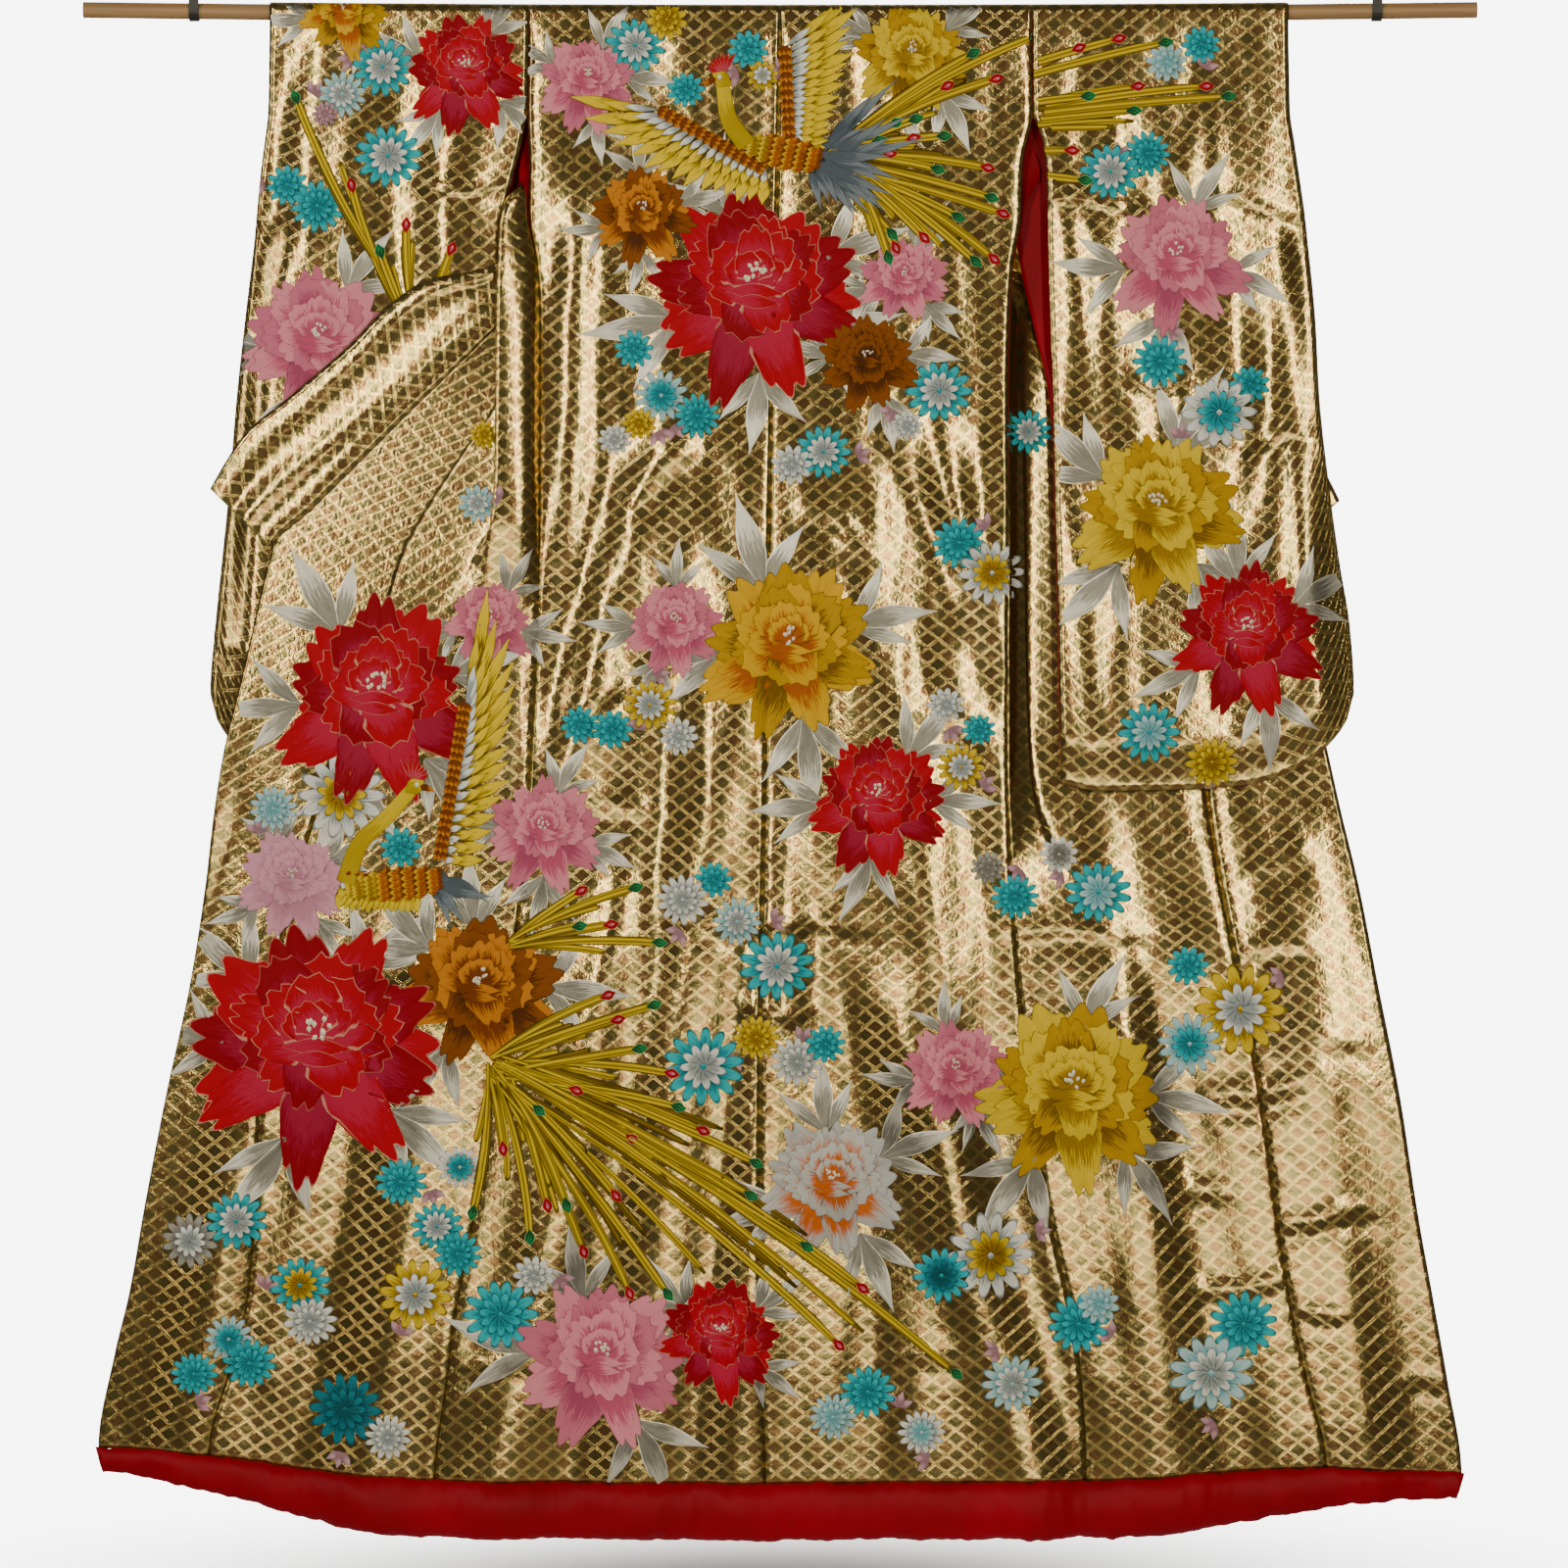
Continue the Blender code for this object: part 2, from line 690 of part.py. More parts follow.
def hook_place(middle):
    """A flat bar that comes down, passes before the pole and turns up under it."""
    radius = POLE_RADIUS + CLEARANCE + HOOK_THICKNESS / 2
    sag = POLE_SAG * (2 * middle / POLE_LENGTH) ** 2

    def place(across, row):
        x = middle + (across - 0.5) * HOOK_WIDTH
        if row < HOOK_STEM_ROWS:
            start = Vector((x, -radius, HOOK_STEM_TOP))
            return start.lerp(Vector((x, -radius, sag)), row / HOOK_STEM_ROWS)
        turn = (row - HOOK_STEM_ROWS) / HOOK_BEND_ROWS * HOOK_SWEEP
        return Vector((x, -radius * math.cos(turn), sag - radius * math.sin(turn)))

    return place


def main():
    for old in list(bpy.data.objects):
        bpy.data.objects.remove(old, do_unlink=True)
    kimono = bpy.data.collections.new("uchikake_kimono_on_pole")
    bpy.context.scene.collection.children.link(kimono)

    brocade = material("gold_brocade", (0.46, 0.31, 0.10), 0.38, 0.6)
    satin = material("red_silk_lining", (0.40, 0.004, 0.012), 0.45)
    wood = material("pale_wood", (0.42, 0.27, 0.13), 0.55)
    steel = material("black_painted_steel", (0.012, 0.012, 0.013), 0.45)

    add_pole(kimono, wood)
    for name, middle in HOOK_PLACES:
        hook_rows = HOOK_STEM_ROWS + HOOK_BEND_ROWS
        add_sheet(kimono, name, steel, HOOK_COLUMNS, hook_rows, hook_place(middle), HOOK_THICKNESS)

    for name, side in (("left", -1), ("right", 1)):
        for end, *stretch in BACK_STRETCHES:
            label = "back_" + name + end
            add_sheet(kimono, label, brocade, BACK_COLUMNS, BODY_ROWS, back_place(side), stretch=stretch)
        for end, *stretch in FRONT_LEFT_STRETCHES if side < 0 else FRONT_RIGHT_STRETCHES:
            label = "front_" + name + end
            add_sheet(kimono, label, brocade, FRONT_COLUMNS, BODY_ROWS, front_place(side), stretch=stretch)
        for end, *stretch in OKUMI_LEFT_STRETCHES if side < 0 else OKUMI_RIGHT_STRETCHES:
            label = "okumi_" + name + end
            add_sheet(kimono, label, brocade, OKUMI_COLUMNS, OKUMI_ROWS, okumi_place(side), stretch=stretch)
        add_sheet(kimono, "collar_" + name, brocade, COLLAR_COLUMNS, COLLAR_END_ROW, collar_place(side))
        for half, towards in (("back", -1), ("front", 1)):
            label = "sleeve_" + name + "_" + half
            add_sheet(kimono, label, brocade, SLEEVE_COLUMNS, SLEEVE_ROWS, sleeve_place(name, towards))
    add_sheet(kimono, "collar_neck", brocade, NECK_COLUMNS, FOLD_ROWS + NECK_ROWS, neck_place)
    add_hem_roll(kimono, satin)


main()
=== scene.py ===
# %% [markdown]
# An uchikake is the long padded coat that goes over a wedding kimono. This one hangs on a round pole
# through both sleeves, with its back to us and both fronts opened out to the sides.
# It is made the way the tailor cuts it: two back panels, two fronts, two overlaps, the collar in three
# lengths, two folded sleeves and the padded roll along the hem. Each panel is a thin shell laid on its
# solid's form, so every seam falls where the solids have it.

# %% The frame, and the size of the solids
import math
import random

import bmesh
import bpy
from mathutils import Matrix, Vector, noise
from mathutils.bvhtree import BVHTree


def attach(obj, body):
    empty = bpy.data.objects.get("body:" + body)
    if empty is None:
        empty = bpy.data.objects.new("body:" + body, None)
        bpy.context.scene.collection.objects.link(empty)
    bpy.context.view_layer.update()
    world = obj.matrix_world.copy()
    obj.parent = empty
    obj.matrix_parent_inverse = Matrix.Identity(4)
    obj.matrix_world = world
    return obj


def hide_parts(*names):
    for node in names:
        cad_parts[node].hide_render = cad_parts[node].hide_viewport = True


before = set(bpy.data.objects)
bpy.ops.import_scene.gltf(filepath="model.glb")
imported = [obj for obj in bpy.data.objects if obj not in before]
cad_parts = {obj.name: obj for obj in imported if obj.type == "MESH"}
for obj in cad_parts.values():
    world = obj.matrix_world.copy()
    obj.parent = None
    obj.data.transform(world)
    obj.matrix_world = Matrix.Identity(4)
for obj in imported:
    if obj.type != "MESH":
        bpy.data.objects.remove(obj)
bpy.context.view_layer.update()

# %% [markdown]
# The camera stands far back, level with the middle of the garment, so the cloth shows almost as a flat
# drawing would. It comes first because everything else is judged through it.

# %% The camera
VIEW_CENTRE = Vector((0.005, 0.0, -1.005))
VIEW_WIDTH = 2.048
CAMERA_DISTANCE = 8.0
SENSOR = 36.0

camera = bpy.data.objects.new("camera", bpy.data.cameras.new("camera"))
bpy.context.scene.collection.objects.link(camera)
camera.location = VIEW_CENTRE + Vector((0, -CAMERA_DISTANCE, 0))
camera.rotation_euler = (math.radians(90), 0, 0)
camera.data.sensor_width = SENSOR
camera.data.lens = SENSOR * CAMERA_DISTANCE / VIEW_WIDTH
camera.data.clip_end = 60
bpy.context.scene.camera = camera
print("lens", round(camera.data.lens, 1), "mm")

# %% [markdown]
# Hung cloth could be left to a simulation, but then nobody decides where its folds fall. Here its shape is
# kept as a tailor's tables of measurements, in millimetres, one row for each level down the garment. The
# curve through the rows never overshoots them, so two panels that share a seam meet along all of it.

# %% A curve through a table
MM = 0.001


def easy(start, end, value):
    """0 before start, 1 after end, and an even S-shaped step between them."""
    part = min(1.0, max(0.0, (value - start) / (end - start)))
    return part * part * (3 - 2 * part)


class Table:
    """Rows of named columns, in millimetres. The others are read by the first."""

    def __init__(self, names, *rows):
        self.names = names.split()
        self.rows = sorted(rows)
        self.known = {}

    def column(self, name):
        place = self.names.index(name)
        return [row[place] for row in self.rows]

    def read(self, name, at):
        """The column's value, in metres, on a smooth curve that never overshoots its rows."""
        key = (name, at)
        if key not in self.known:
            self.known[key] = self.measure(name, at)
        return self.known[key]

    def measure(self, name, at):
        keys = self.column(self.names[0])
        values = self.column(name)
        at = min(max(at / MM, keys[0]), keys[-1])
        step = max(i for i in range(len(keys) - 1) if keys[i] <= at)
        run = keys[step + 1] - keys[step]
        part = (at - keys[step]) / run
        slopes = [self.slope(keys, values, i) * run for i in (step, step + 1)]
        start, end = values[step], values[step + 1]
        turn = start * (2 * part**3 - 3 * part**2 + 1) + end * (3 * part**2 - 2 * part**3)
        lean = slopes[0] * (part**3 - 2 * part**2 + part) + slopes[1] * (part**3 - part**2)
        return (turn + lean) * MM

    @staticmethod
    def slope(keys, values, i):
        if i in (0, len(keys) - 1):
            return 0.0
        before = (values[i] - values[i - 1]) / (keys[i] - keys[i - 1])
        after = (values[i + 1] - values[i]) / (keys[i + 1] - keys[i])
        if before * after <= 0:
            return 0.0
        return 2 * before * after / (before + after)


print("an easy step", [round(easy(0, 4, i), 2) for i in range(5)])

# %% [markdown]
# The back is two long panels with a seam down the middle. A narrow overlap (okumi) is sewn to the edge of
# each front. These seams are measured first, because every other panel starts or ends at one of them.

# %% The seams of the body
# Levels that several panels share: where the collar leaves the front, where it ends, and the hem.
COLLAR_POINT = -0.345
COLLAR_END = -0.700
HEM_HEIGHT = -1.920

# Where the back's two side seams and its centre seam run.
BODY = Table(
    "height left centre right",
    (0, -328, 0, 329), (-128, -330, -2, 330), (-200, -327, -3, 316), (-260, -328, -4, 315),
    (-330, -317, -7, 303), (-400, -314, -9, 299), (-500, -314, -11, 297), (-698, -315, -14, 298),
    (-830, -318, -17, 297), (-968, -326, -19, 297), (-1133, -338, -23, 302), (-1261, -352, -26, 311),
    (-1414, -376, -27, 330), (-1568, -399, -27, 351), (-1706, -425, -26, 381), (-1793, -436, -24, 393),
    (-1920, -451, -20, 399),
)

# The seams that sew the overlaps (okumi) to the fronts, and the free front edges below the collar.
OKUMI_SEAMS = Table(
    "height left right",
    (-345, -321, 321), (-410, -343, 343), (-509, -369, 366), (-571, -411, 400), (-646, -460, 440),
    (-700, -490, 466), (-795, -520, 500), (-864, -547, 522), (-968, -584, 553), (-1050, -608, 564),
    (-1133, -634, 576), (-1261, -659, 600), (-1414, -678, 626), (-1568, -684, 646), (-1706, -695, 666),
    (-1793, -715, 684), (-1920, -744, 711),
)
FRONT_EDGES = Table(
    "height left right",
    (-700, -662, 655), (-726, -669, 661), (-795, -685, 676), (-864, -701, 694), (-968, -726, 718),
    (-1050, -739, 736), (-1133, -749, 755), (-1261, -769, 779), (-1414, -800, 808), (-1568, -827, 831),
    (-1706, -849, 855), (-1793, -868, 870), (-1920, -889, 889),
)
print("rows", len(BODY.rows), len(OKUMI_SEAMS.rows), len(FRONT_EDGES.rows))

# %% [markdown]
# Each front runs from the back's side seam to its overlap. The left one is folded under itself, and the
# right one turns back behind its sleeve, so each has a table of stations that the cloth runs through.

# %% The courses of the fronts
# The depth of the fronts' main layer. The left front lies over its sleeve, and the right one behind it.
FRONT_DEPTH = Table(
    "height left right",
    (-345, -5, 34), (-410, -20, 25), (-509, -22, 21), (-700, -25, 20), (-900, -24, 18), (-1010, -22, 17),
    (-1110, -18, 2), (-1250, -14, -9), (-1920, -13, -13),
)

# The left front between its side seam and its front edge. Beside the seam it stands forward in a
# flat strip, then turns back under itself (pleat, under, tuck). Above that it loops round behind (fold).
# Each place is a distance out from the back's side seam, with its depth.
FRONT_LEFT = Table(
    "height side side_y strip strip_y pleat pleat_y under under_y tuck tuck_y fold fold_y",
    (0, 0, 12, -24, 12, -50, 12, -85, 12, -125, 12, -175, 12),
    (-100, 0, 13, -20, 14, -42, 15, -72, 16, -105, 17, -148, 22),
    (-160, 5, 9, -4, 11, -14, 12, -38, 14, -72, 18, -120, 28),
    (-207, 14, -6, 6, -3, -4, 0, -25, 5, -52, 12, -94, 28),
    (-241, 4, -14, 15, -20, 26, -21, 26, -14, 6, -7, -66, 20),
    (-266, 3, -14, 18, -22, 33, -26, 33, -19, 14, -12, -49, 14),
    (-345, 0.1, -13, 16, -27, 48, -36, 49, -29, 25, -21, 6, -10),
    (-410, 0.1, -13, 16, -31, 51, -39, 52, -32, 32, -28, 20, -24),
    (-509, 0.1, -13, 16, -32, 52, -40, 53, -33, 37, -31, 36, -25),
    (-600, 0.1, -13, 16, -32, 53, -39, 54, -33, 43, -31, 45, -25),
    (-660, 0.1, -13, 18, -31, 57, -37, 60, -33, 56, -30, 63, -26),
    (-700, 0.2, -13, 20, -27, 62, -32, 70, -30, 76, -28, 92, -26),
    (-740, 0.2, -13, 22, -23, 62, -27, 78, -27, 92, -26, 112, -25),
    (-800, 0.2, -13, 30, -18, 62, -21, 94, -23, 122, -24, 150, -24),
    (-1920, 0.2, -13, 45, -13, 95, -13, 140, -13, 190, -13, 240, -13),
)

# The right front: it turns back round the back's side seam and lies behind the sleeve.
FRONT_RIGHT = Table(
    "height side side_y turn turn_y lie lie_y fold fold_y",
    (0, 0, 12, -55, 12, -110, 12, -170, 12), (-100, 0, 13, -40, 17, -85, 22, -140, 26),
    (-160, 6, 12, -28, 16, -68, 24, -108, 34), (-205, 24, 7, -12, 8, -52, 18, -88, 32),
    (-255, 3, -11, -10, 3, -34, 16, -66, 30), (-345, 0.1, -13, -2, -1, -8, 10, -8, 22),
    (-410, 0.1, -13, 5, -1, 10, 8, 22, 18), (-509, 0.1, -13, 6, -1, 16, 8, 32, 16),
    (-900, 0.1, -13, 8, -1, 24, 9, 52, 16), (-1010, 0.1, -13, 12, -2, 30, 6, 60, 14),
    (-1120, 0.1, -13, 24, -10, 56, -6, 110, -1), (-1250, 0.2, -13, 50, -12, 110, -11, 180, -10),
    (-1920, 0.2, -13, 60, -13, 130, -13, 220, -13),
)
print("stations", len(FRONT_LEFT.names) // 2, "and", len(FRONT_RIGHT.names) // 2)

# %% [markdown]
# The collar is one long band, doubled over and sewn round the neck and down both fronts. It stands out
# from its seam, so its far edge is measured as well.

# %% The collar's two edges
# The collar's far edge, read by the height of the seam that sews it on.
COLLAR_LEFT = Table(
    "height seam_x seam_y edge_x edge_y edge_z",
    (0, -88, 12, -72, 16, -58), (-100, -150, 30, -122, 46, -124), (-160, -200, 41, -198, 70, -168),
    (-215, -245, 38, -262, 56, -190), (-266, -283, 24, -306, 28, -236), (-345, -327, -4, -355, -14, -316),
    (-385, -346, -17, -389, -20, -334), (-426, -385, -22, -457, -21, -348),
    (-470, -430, -22, -515, -22, -386), (-517, -479, -22, -562, -23, -434),
    (-588, -550, -23, -637, -24, -499), (-647, -610, -24, -698, -26, -550),
    (-700, -662, -25, -742, -29, -621),
)
COLLAR_RIGHT = Table(
    "height seam_x seam_y edge_x edge_y edge_z",
    (0, 88, 12, 72, 16, -58), (-100, 150, 30, 122, 46, -124), (-160, 200, 42, 198, 74, -168),
    (-215, 245, 44, 262, 70, -190), (-266, 283, 42, 306, 60, -236), (-345, 327, 34, 355, 42, -316),
    (-385, 346, 28, 389, 32, -334), (-426, 385, 23, 455, 25, -350), (-470, 428, 21, 511, 23, -390),
    (-517, 476, 20, 558, 22, -438), (-588, 546, 20, 632, 21, -503), (-647, 604, 20, 690, 22, -556),
    (-700, 655, 20, 733, 24, -634),
)
print("the left collar's end", COLLAR_LEFT.rows[0][3:])

# %% [markdown]
# A sleeve is one length of cloth folded over at the top, sewn up along its bottom with a round outer
# corner. Each of its edges has its own line, as cloth that hangs is never quite even.

# %% The sleeves and the hem line
# The four long edges of the two sleeves, and how their bottoms round up to the outer edge.
SLEEVES = Table(
    "height left_inner left_outer right_inner right_outer",
    (0, -330, -666, 331, 663), (-128, -332, -668, 332, 665), (-170, -338, -673, 343, 671),
    (-210, -348, -678, 348, 677), (-280, -364, -685, 349, 687), (-400, -367, -699, 352, 699),
    (-500, -368, -710, 356, 704), (-620, -370, -720, 358, 717), (-720, -371, -730, 361, 731),
    (-800, -372, -738, 363, 744), (-880, -373, -744, 364, 749), (-1015, -374, -744, 366, 749),
)
SLEEVE_BOTTOM = Table(
    "across drop",
    (0, -1005), (120, -1014), (450, -1012), (640, -1006), (790, -988), (880, -966), (950, -938), (985, -914),
    (1000, -888),
)

# The level of the lower edge of the brocade across the hem.
HEM = Table(
    "across height",
    (-889, -1871), (-742, -1883), (-600, -1903), (-450, -1916), (-20, -1920), (398, -1917), (709, -1899),
    (889, -1906),
)
print("the hem's lowest level", min(HEM.column("height")))

# %% [markdown]
# Heavy padded cloth falls in few, broad folds that fan out towards the hem. Each is placed along
# a line, because a sculpted surface could not be kept in step with the panels' seams.

# %% The broad folds
# The large soft folds of the hanging cloth: straight lines from a top to a foot, a ridge where the
# rise is positive and a valley where it is negative.
FOLDS = (
    # top_x, top_z, foot_x, foot_z, rise, half_width
    (-262, -150, -284, -700, 7, 26), (-118, -420, -306, -1100, 9, 44), (-196, -460, -322, -1010, -6, 30),
    (-40, -520, -190, -1920, 10, 46), (-104, -620, -270, -1920, -6, 36), (-178, -980, -370, -1920, 10, 44),
    (45, -480, -50, -1920, 7, 40), (0, -760, -120, -1920, -5, 30), (62, -1050, 128, -1920, -6, 36),
    (88, -500, 262, -1620, 11, 44), (136, -510, 300, -960, -7, 34), (196, -460, 262, -900, 7, 32),
    (120, -1180, 332, -1920, 11, 42), (190, -1160, 400, -1920, -6, 34), (-420, -1080, -540, -1920, 10, 48),
    (-486, -1000, -632, -1920, -6, 40), (-640, -1120, -775, -1920, 9, 46), (410, -1060, 500, -1920, 9, 46),
    (468, -1120, 596, -1920, -6, 38), (652, -1120, 775, -1920, 9, 48),
)
print("broad folds", len(FOLDS))

# %% [markdown]
# Over the broad folds lie the small creases that handling leaves in stiff brocade. They could be left to a
# bump map, but real ones catch the light, so each is placed as a low ridge with a trough beside it.

# %% Creases
CREASES = (
    # start_x, start_z, end_x, end_z, rise, half_width
    (-110, -1185, 108, -1190, 1.9, 11), (-69, -1300, 47, -1304, 1.6, 11), (307, -1194, 484, -1196, 2.1, 12),
    (595, -1224, 699, -1208, 1.9, 11), (522, -1681, 654, -1668, 1.9, 11), (666, -1709, 742, -1712, 1.6, 10),
    (650, -1588, 778, -1570, 1.9, 11), (809, -1797, 861, -1794, 1.5, 10),
    (-431, -1766, -305, -1762, 1.7, 11), (-300, -905, -196, -880, 1.5, 14),
    (-262, -1010, -170, -1046, 1.6, 14), (160, -900, 268, -930, 1.6, 14), (36, -640, 120, -700, 2.4, 14),
    (-210, -640, -120, -560, 3.0, 16), (-620, -980, -520, -1010, 1.6, 14),
    (-560, -1270, -470, -1240, 1.5, 14), (420, -1330, 520, -1360, 1.9, 13),
    (560, -1420, 680, -1400, 1.9, 13), (460, -1520, 590, -1548, 1.7, 14), (340, -1470, 430, -1440, 1.5, 12),
    (610, -1120, 690, -1090, 1.7, 12), (700, -1330, 770, -1350, 1.7, 12), (-60, -1560, 60, -1590, 1.5, 14),
    (-180, -1700, -90, -1660, 1.5, 13), (130, -1760, 250, -1740, 1.6, 14),
)
SLEEVE_CREASES = (
    # start_x, start_z, end_x, end_z, rise, half_width
    (351, -236, 474, -254, 3.4, 9), (577, -238, 677, -258, 3.0, 9), (460, -479, 518, -494, 2.6, 9),
    (-483, -233, -356, -222, 3.0, 9), (-737, -826, -690, -832, 2.6, 8), (380, -120, 420, -420, 3.0, 22),
    (470, -90, 480, -380, -3.0, 26), (560, -140, 520, -620, 3.4, 26), (640, -300, 600, -900, -3.0, 30),
    (420, -600, 460, -960, 3.0, 26), (690, -420, 690, -900, 3.0, 22), (400, -700, 500, -730, 2.4, 11),
    (600, -560, 690, -540, 2.6, 11), (-420, -60, -440, -380, 3.0, 24), (-520, -100, -500, -420, -3.0, 26),
    (-600, -60, -640, -360, 3.0, 22), (-680, -300, -690, -800, 2.6, 18),
)
# How far a crease fades beyond its ends, as a share of its length, and how far it wanders aside.
CREASE_RUN_OUT = 0.2
CREASE_WANDER = 0.35
# The trough beside a crease: its depth against the ridge, and its place in half widths.
TROUGH_DEPTH = 0.6
TROUGH_AWAY = 1.7


def crease_rise(creases, x, z):
    """How far the placed creases lift the cloth at a place."""
    total = 0.0
    for start_x, start_z, end_x, end_z, rise, half_width in creases:
        reach = 3 * half_width
        if not min(start_x, end_x) - reach < x / MM < max(start_x, end_x) + reach:
            continue
        if not min(start_z, end_z) - reach < z / MM < max(start_z, end_z) + reach:
            continue
        run_x, run_z = end_x - start_x, end_z - start_z
        length = math.hypot(run_x, run_z)
        from_x, from_z = x / MM - start_x, z / MM - start_z
        along = (from_x * run_x + from_z * run_z) / length**2
        if not -CREASE_RUN_OUT < along < 1 + CREASE_RUN_OUT:
            continue
        away = (from_x * run_z - from_z * run_x) / length / half_width
        away += CREASE_WANDER * math.sin(along * 7 + start_x)
        ends = easy(-CREASE_RUN_OUT, 0.25, along) * (1 - easy(0.75, 1 + CREASE_RUN_OUT, along))
        trough = TROUGH_DEPTH * math.exp(-((away - TROUGH_AWAY) ** 2))
        total += rise * ends * (math.exp(-away * away) - trough)
    return total * MM


print("creases", len(CREASES), "on the body and", len(SLEEVE_CREASES), "on the sleeves")

# %% [markdown]
# Wadding is never quite even. Three layers of smooth noise stand for it. Alone they would look like any
# cloth, which is why they only come under the folds and creases that are placed one by one.

# %% All that lifts the cloth
# Each unevenness is a rise in metres, and the size of one swell across and down.
SWELLS = ((0.0062, 0.085, 0.560), (0.0015, 0.034, 0.130), (0.00034, 0.015, 0.026))
# How much they spread from the collar to the hem, as the skirt does.
FLARE = 0.45


def unevenness(x, z):
    """Swells that fan out with the skirt as they run down it."""
    x /= 1 + FLARE * easy(COLLAR_END, HEM_HEIGHT, z)
    return sum(
        rise * noise.noise(Vector((x / across + number * 9.7, z / down, 3.1 * number)))
        for number, (rise, across, down) in enumerate(SWELLS)
    )


def drape(x, z):
    """How far the cloth stands out towards -Y at a place, from all its folds and creases."""
    total = 0.0
    for top_x, top_z, foot_x, foot_z, rise, half_width in FOLDS:
        along = (z / MM - top_z) / (foot_z - top_z)
        if along <= 0 or along > 1.3:
            continue
        middle = top_x + (foot_x - top_x) * along
        strength = easy(0.0, 0.4, along) * (1 if foot_z * MM <= HEM_HEIGHT else 1 - easy(0.7, 1.2, along))
        away = (x / MM - middle) / half_width
        total += rise * strength * math.exp(-away * away)
    return total * MM + crease_rise(CREASES, x, z) + unevenness(x, z)


print("the cloth stands out by", round(drape(-0.19, -1.0) / MM, 1), "mm")

# %% [markdown]
# A seam pulls the wadding flat beside it and leaves small puckers along the stitching, which tell the eye
# that the cloth is padded. The last step lets all the edges follow the hem's line and the pole's sag.

# %% Seams, hem and pole
# How deep and wide a seam draws in, then how tall and long its puckers are and how far they reach.
SEAM_DIP = 0.0016
SEAM_DIP_WIDE = 0.0045
PUCKER = 0.0011
PUCKER_LONG = 0.016
PUCKER_REACH = 0.020
# The levels between which the folds and puckers grow from nothing.
FOLDS_BEGIN = 0
FOLDS_FULL = -0.05
# The pole's length, how far its ends bend up, and where the two lines lose their hold.
POLE_LENGTH = 1.820
POLE_SAG = 0.006
HEM_FOLLOWED_FROM = -1.200
SAG_LOST_AT = -0.300


def beside_seam(from_seam, level):
    """How far a seam draws the cloth in beside it, with small puckers along the stitching."""
    dip = SEAM_DIP * math.exp(-((from_seam / SEAM_DIP_WIDE) ** 2))
    wave = noise.noise(Vector((0.0, 4.7, level / PUCKER_LONG)))
    return (dip + PUCKER * wave * math.exp(-from_seam / PUCKER_REACH)) * easy(FOLDS_BEGIN, FOLDS_FULL, level)


def settle(point):
    """Lets the lower edges follow the hem's line, and the upper ones the sag of the pole."""
    lift = HEM.read("height", round(point.x, 4)) - HEM_HEIGHT
    sag = POLE_SAG * (2 * point.x / POLE_LENGTH) ** 2
    point.z += lift * easy(HEM_FOLLOWED_FROM, HEM_HEIGHT, point.z)
    point.z += sag * (1 - easy(0, SAG_LOST_AT, point.z))
    return point


print("the hem's left end", round(settle(Vector((-0.889, 0, HEM_HEIGHT))).z, 3))

# %% [markdown]
# Each panel is one function: told how far across and how far down the cloth a stitch is, it gives the
# place where that stitch hangs. Above the pole's middle, where the cloth lies round the wood, the distance
# down is negative.

# %% Helpers for the panels' places
# The cloth's radius round the pole, and the length of its quarter turn.
FOLD_RADIUS = 0.0120
FOLD_ARC = FOLD_RADIUS * math.pi / 2
# The width of a seam, and of the one along the ridge over the pole.
SEAM = 0.00006
RIDGE_SEAM = 0.0010


def over_pole(x, side, down):
    """A place on the fold over the pole, from the ridge at minus a quarter turn to the pole's middle at 0."""
    part = 1 + down / FOLD_ARC
    turn = (RIDGE_SEAM / 2 + part * (FOLD_ARC - RIDGE_SEAM / 2)) / FOLD_RADIUS
    return Vector((x, side * FOLD_RADIUS * math.sin(turn), FOLD_RADIUS * math.cos(turn)))


def through(places, part):
    """A place on a smooth curve, evenly timed, from the second place to the last but one."""
    last = len(places) - 3
    step = min(int(part * last), last - 1)
    part = part * last - step
    before, start, end, after = places[step : step + 4]
    square, cube = part * part, part**3
    return 0.5 * (
        2 * start
        + (end - before) * part
        + (2 * before - 5 * start + 4 * end - after) * square
        + (3 * start - before - 3 * end + after) * cube
    )


def within(across, width):
    """Keeps the sheet's two long edges half a seam inside its seam lines."""
    inset = SEAM / 2 / width
    return inset + across * (1 - 2 * inset)


print("the ridge over the pole", over_pole(0, 1, -FOLD_ARC))

# %% [markdown]
# The back panels hang straight from the pole, so their places are the seams' table with the folds added.

# %% The back
# How far the back hangs from the pole's middle, and the level where it has settled.
HANG_DEPTH = 0.013
HANG_SETTLED = -0.200


def back_place(side):
    """The back's half panel: side is -1 for the left one and 1 for the right one."""
    seam = "left" if side < 0 else "right"

    def place(across, down):
        level = -max(0.0, down)
        width = abs(BODY.read(seam, level) - BODY.read("centre", level))
        across = within(across, width)
        outer = BODY.read(seam, level)
        x = BODY.read("centre", level) * (1 - across) + outer * across
        if down < 0:
            return settle(over_pole(x, -1, down))
        rest = FOLD_RADIUS + (HANG_DEPTH - FOLD_RADIUS) * easy(0, HANG_SETTLED, level)
        rest -= beside_seam(min(across, 1 - across) * width, level)
        return settle(Vector((x, -rest - drape(x, level) * easy(FOLDS_BEGIN, FOLDS_FULL, level), level)))

    return place


print("the back's foot", back_place(-1)(0, -HEM_HEIGHT))

# %% [markdown]
# A front, its overlap and its collar meet along lines that both neighbours read, so neither can drift.

# %% The lines that the front pieces share


def collar_line(side, level):
    """The collar's seam at a height, and its far edge across from there."""
    collar = COLLAR_LEFT if side < 0 else COLLAR_RIGHT
    seam = Vector((collar.read("seam_x", level), collar.read("seam_y", level), level))
    edge = Vector([collar.read("edge_" + axis, level) for axis in "xyz"])
    return seam, edge


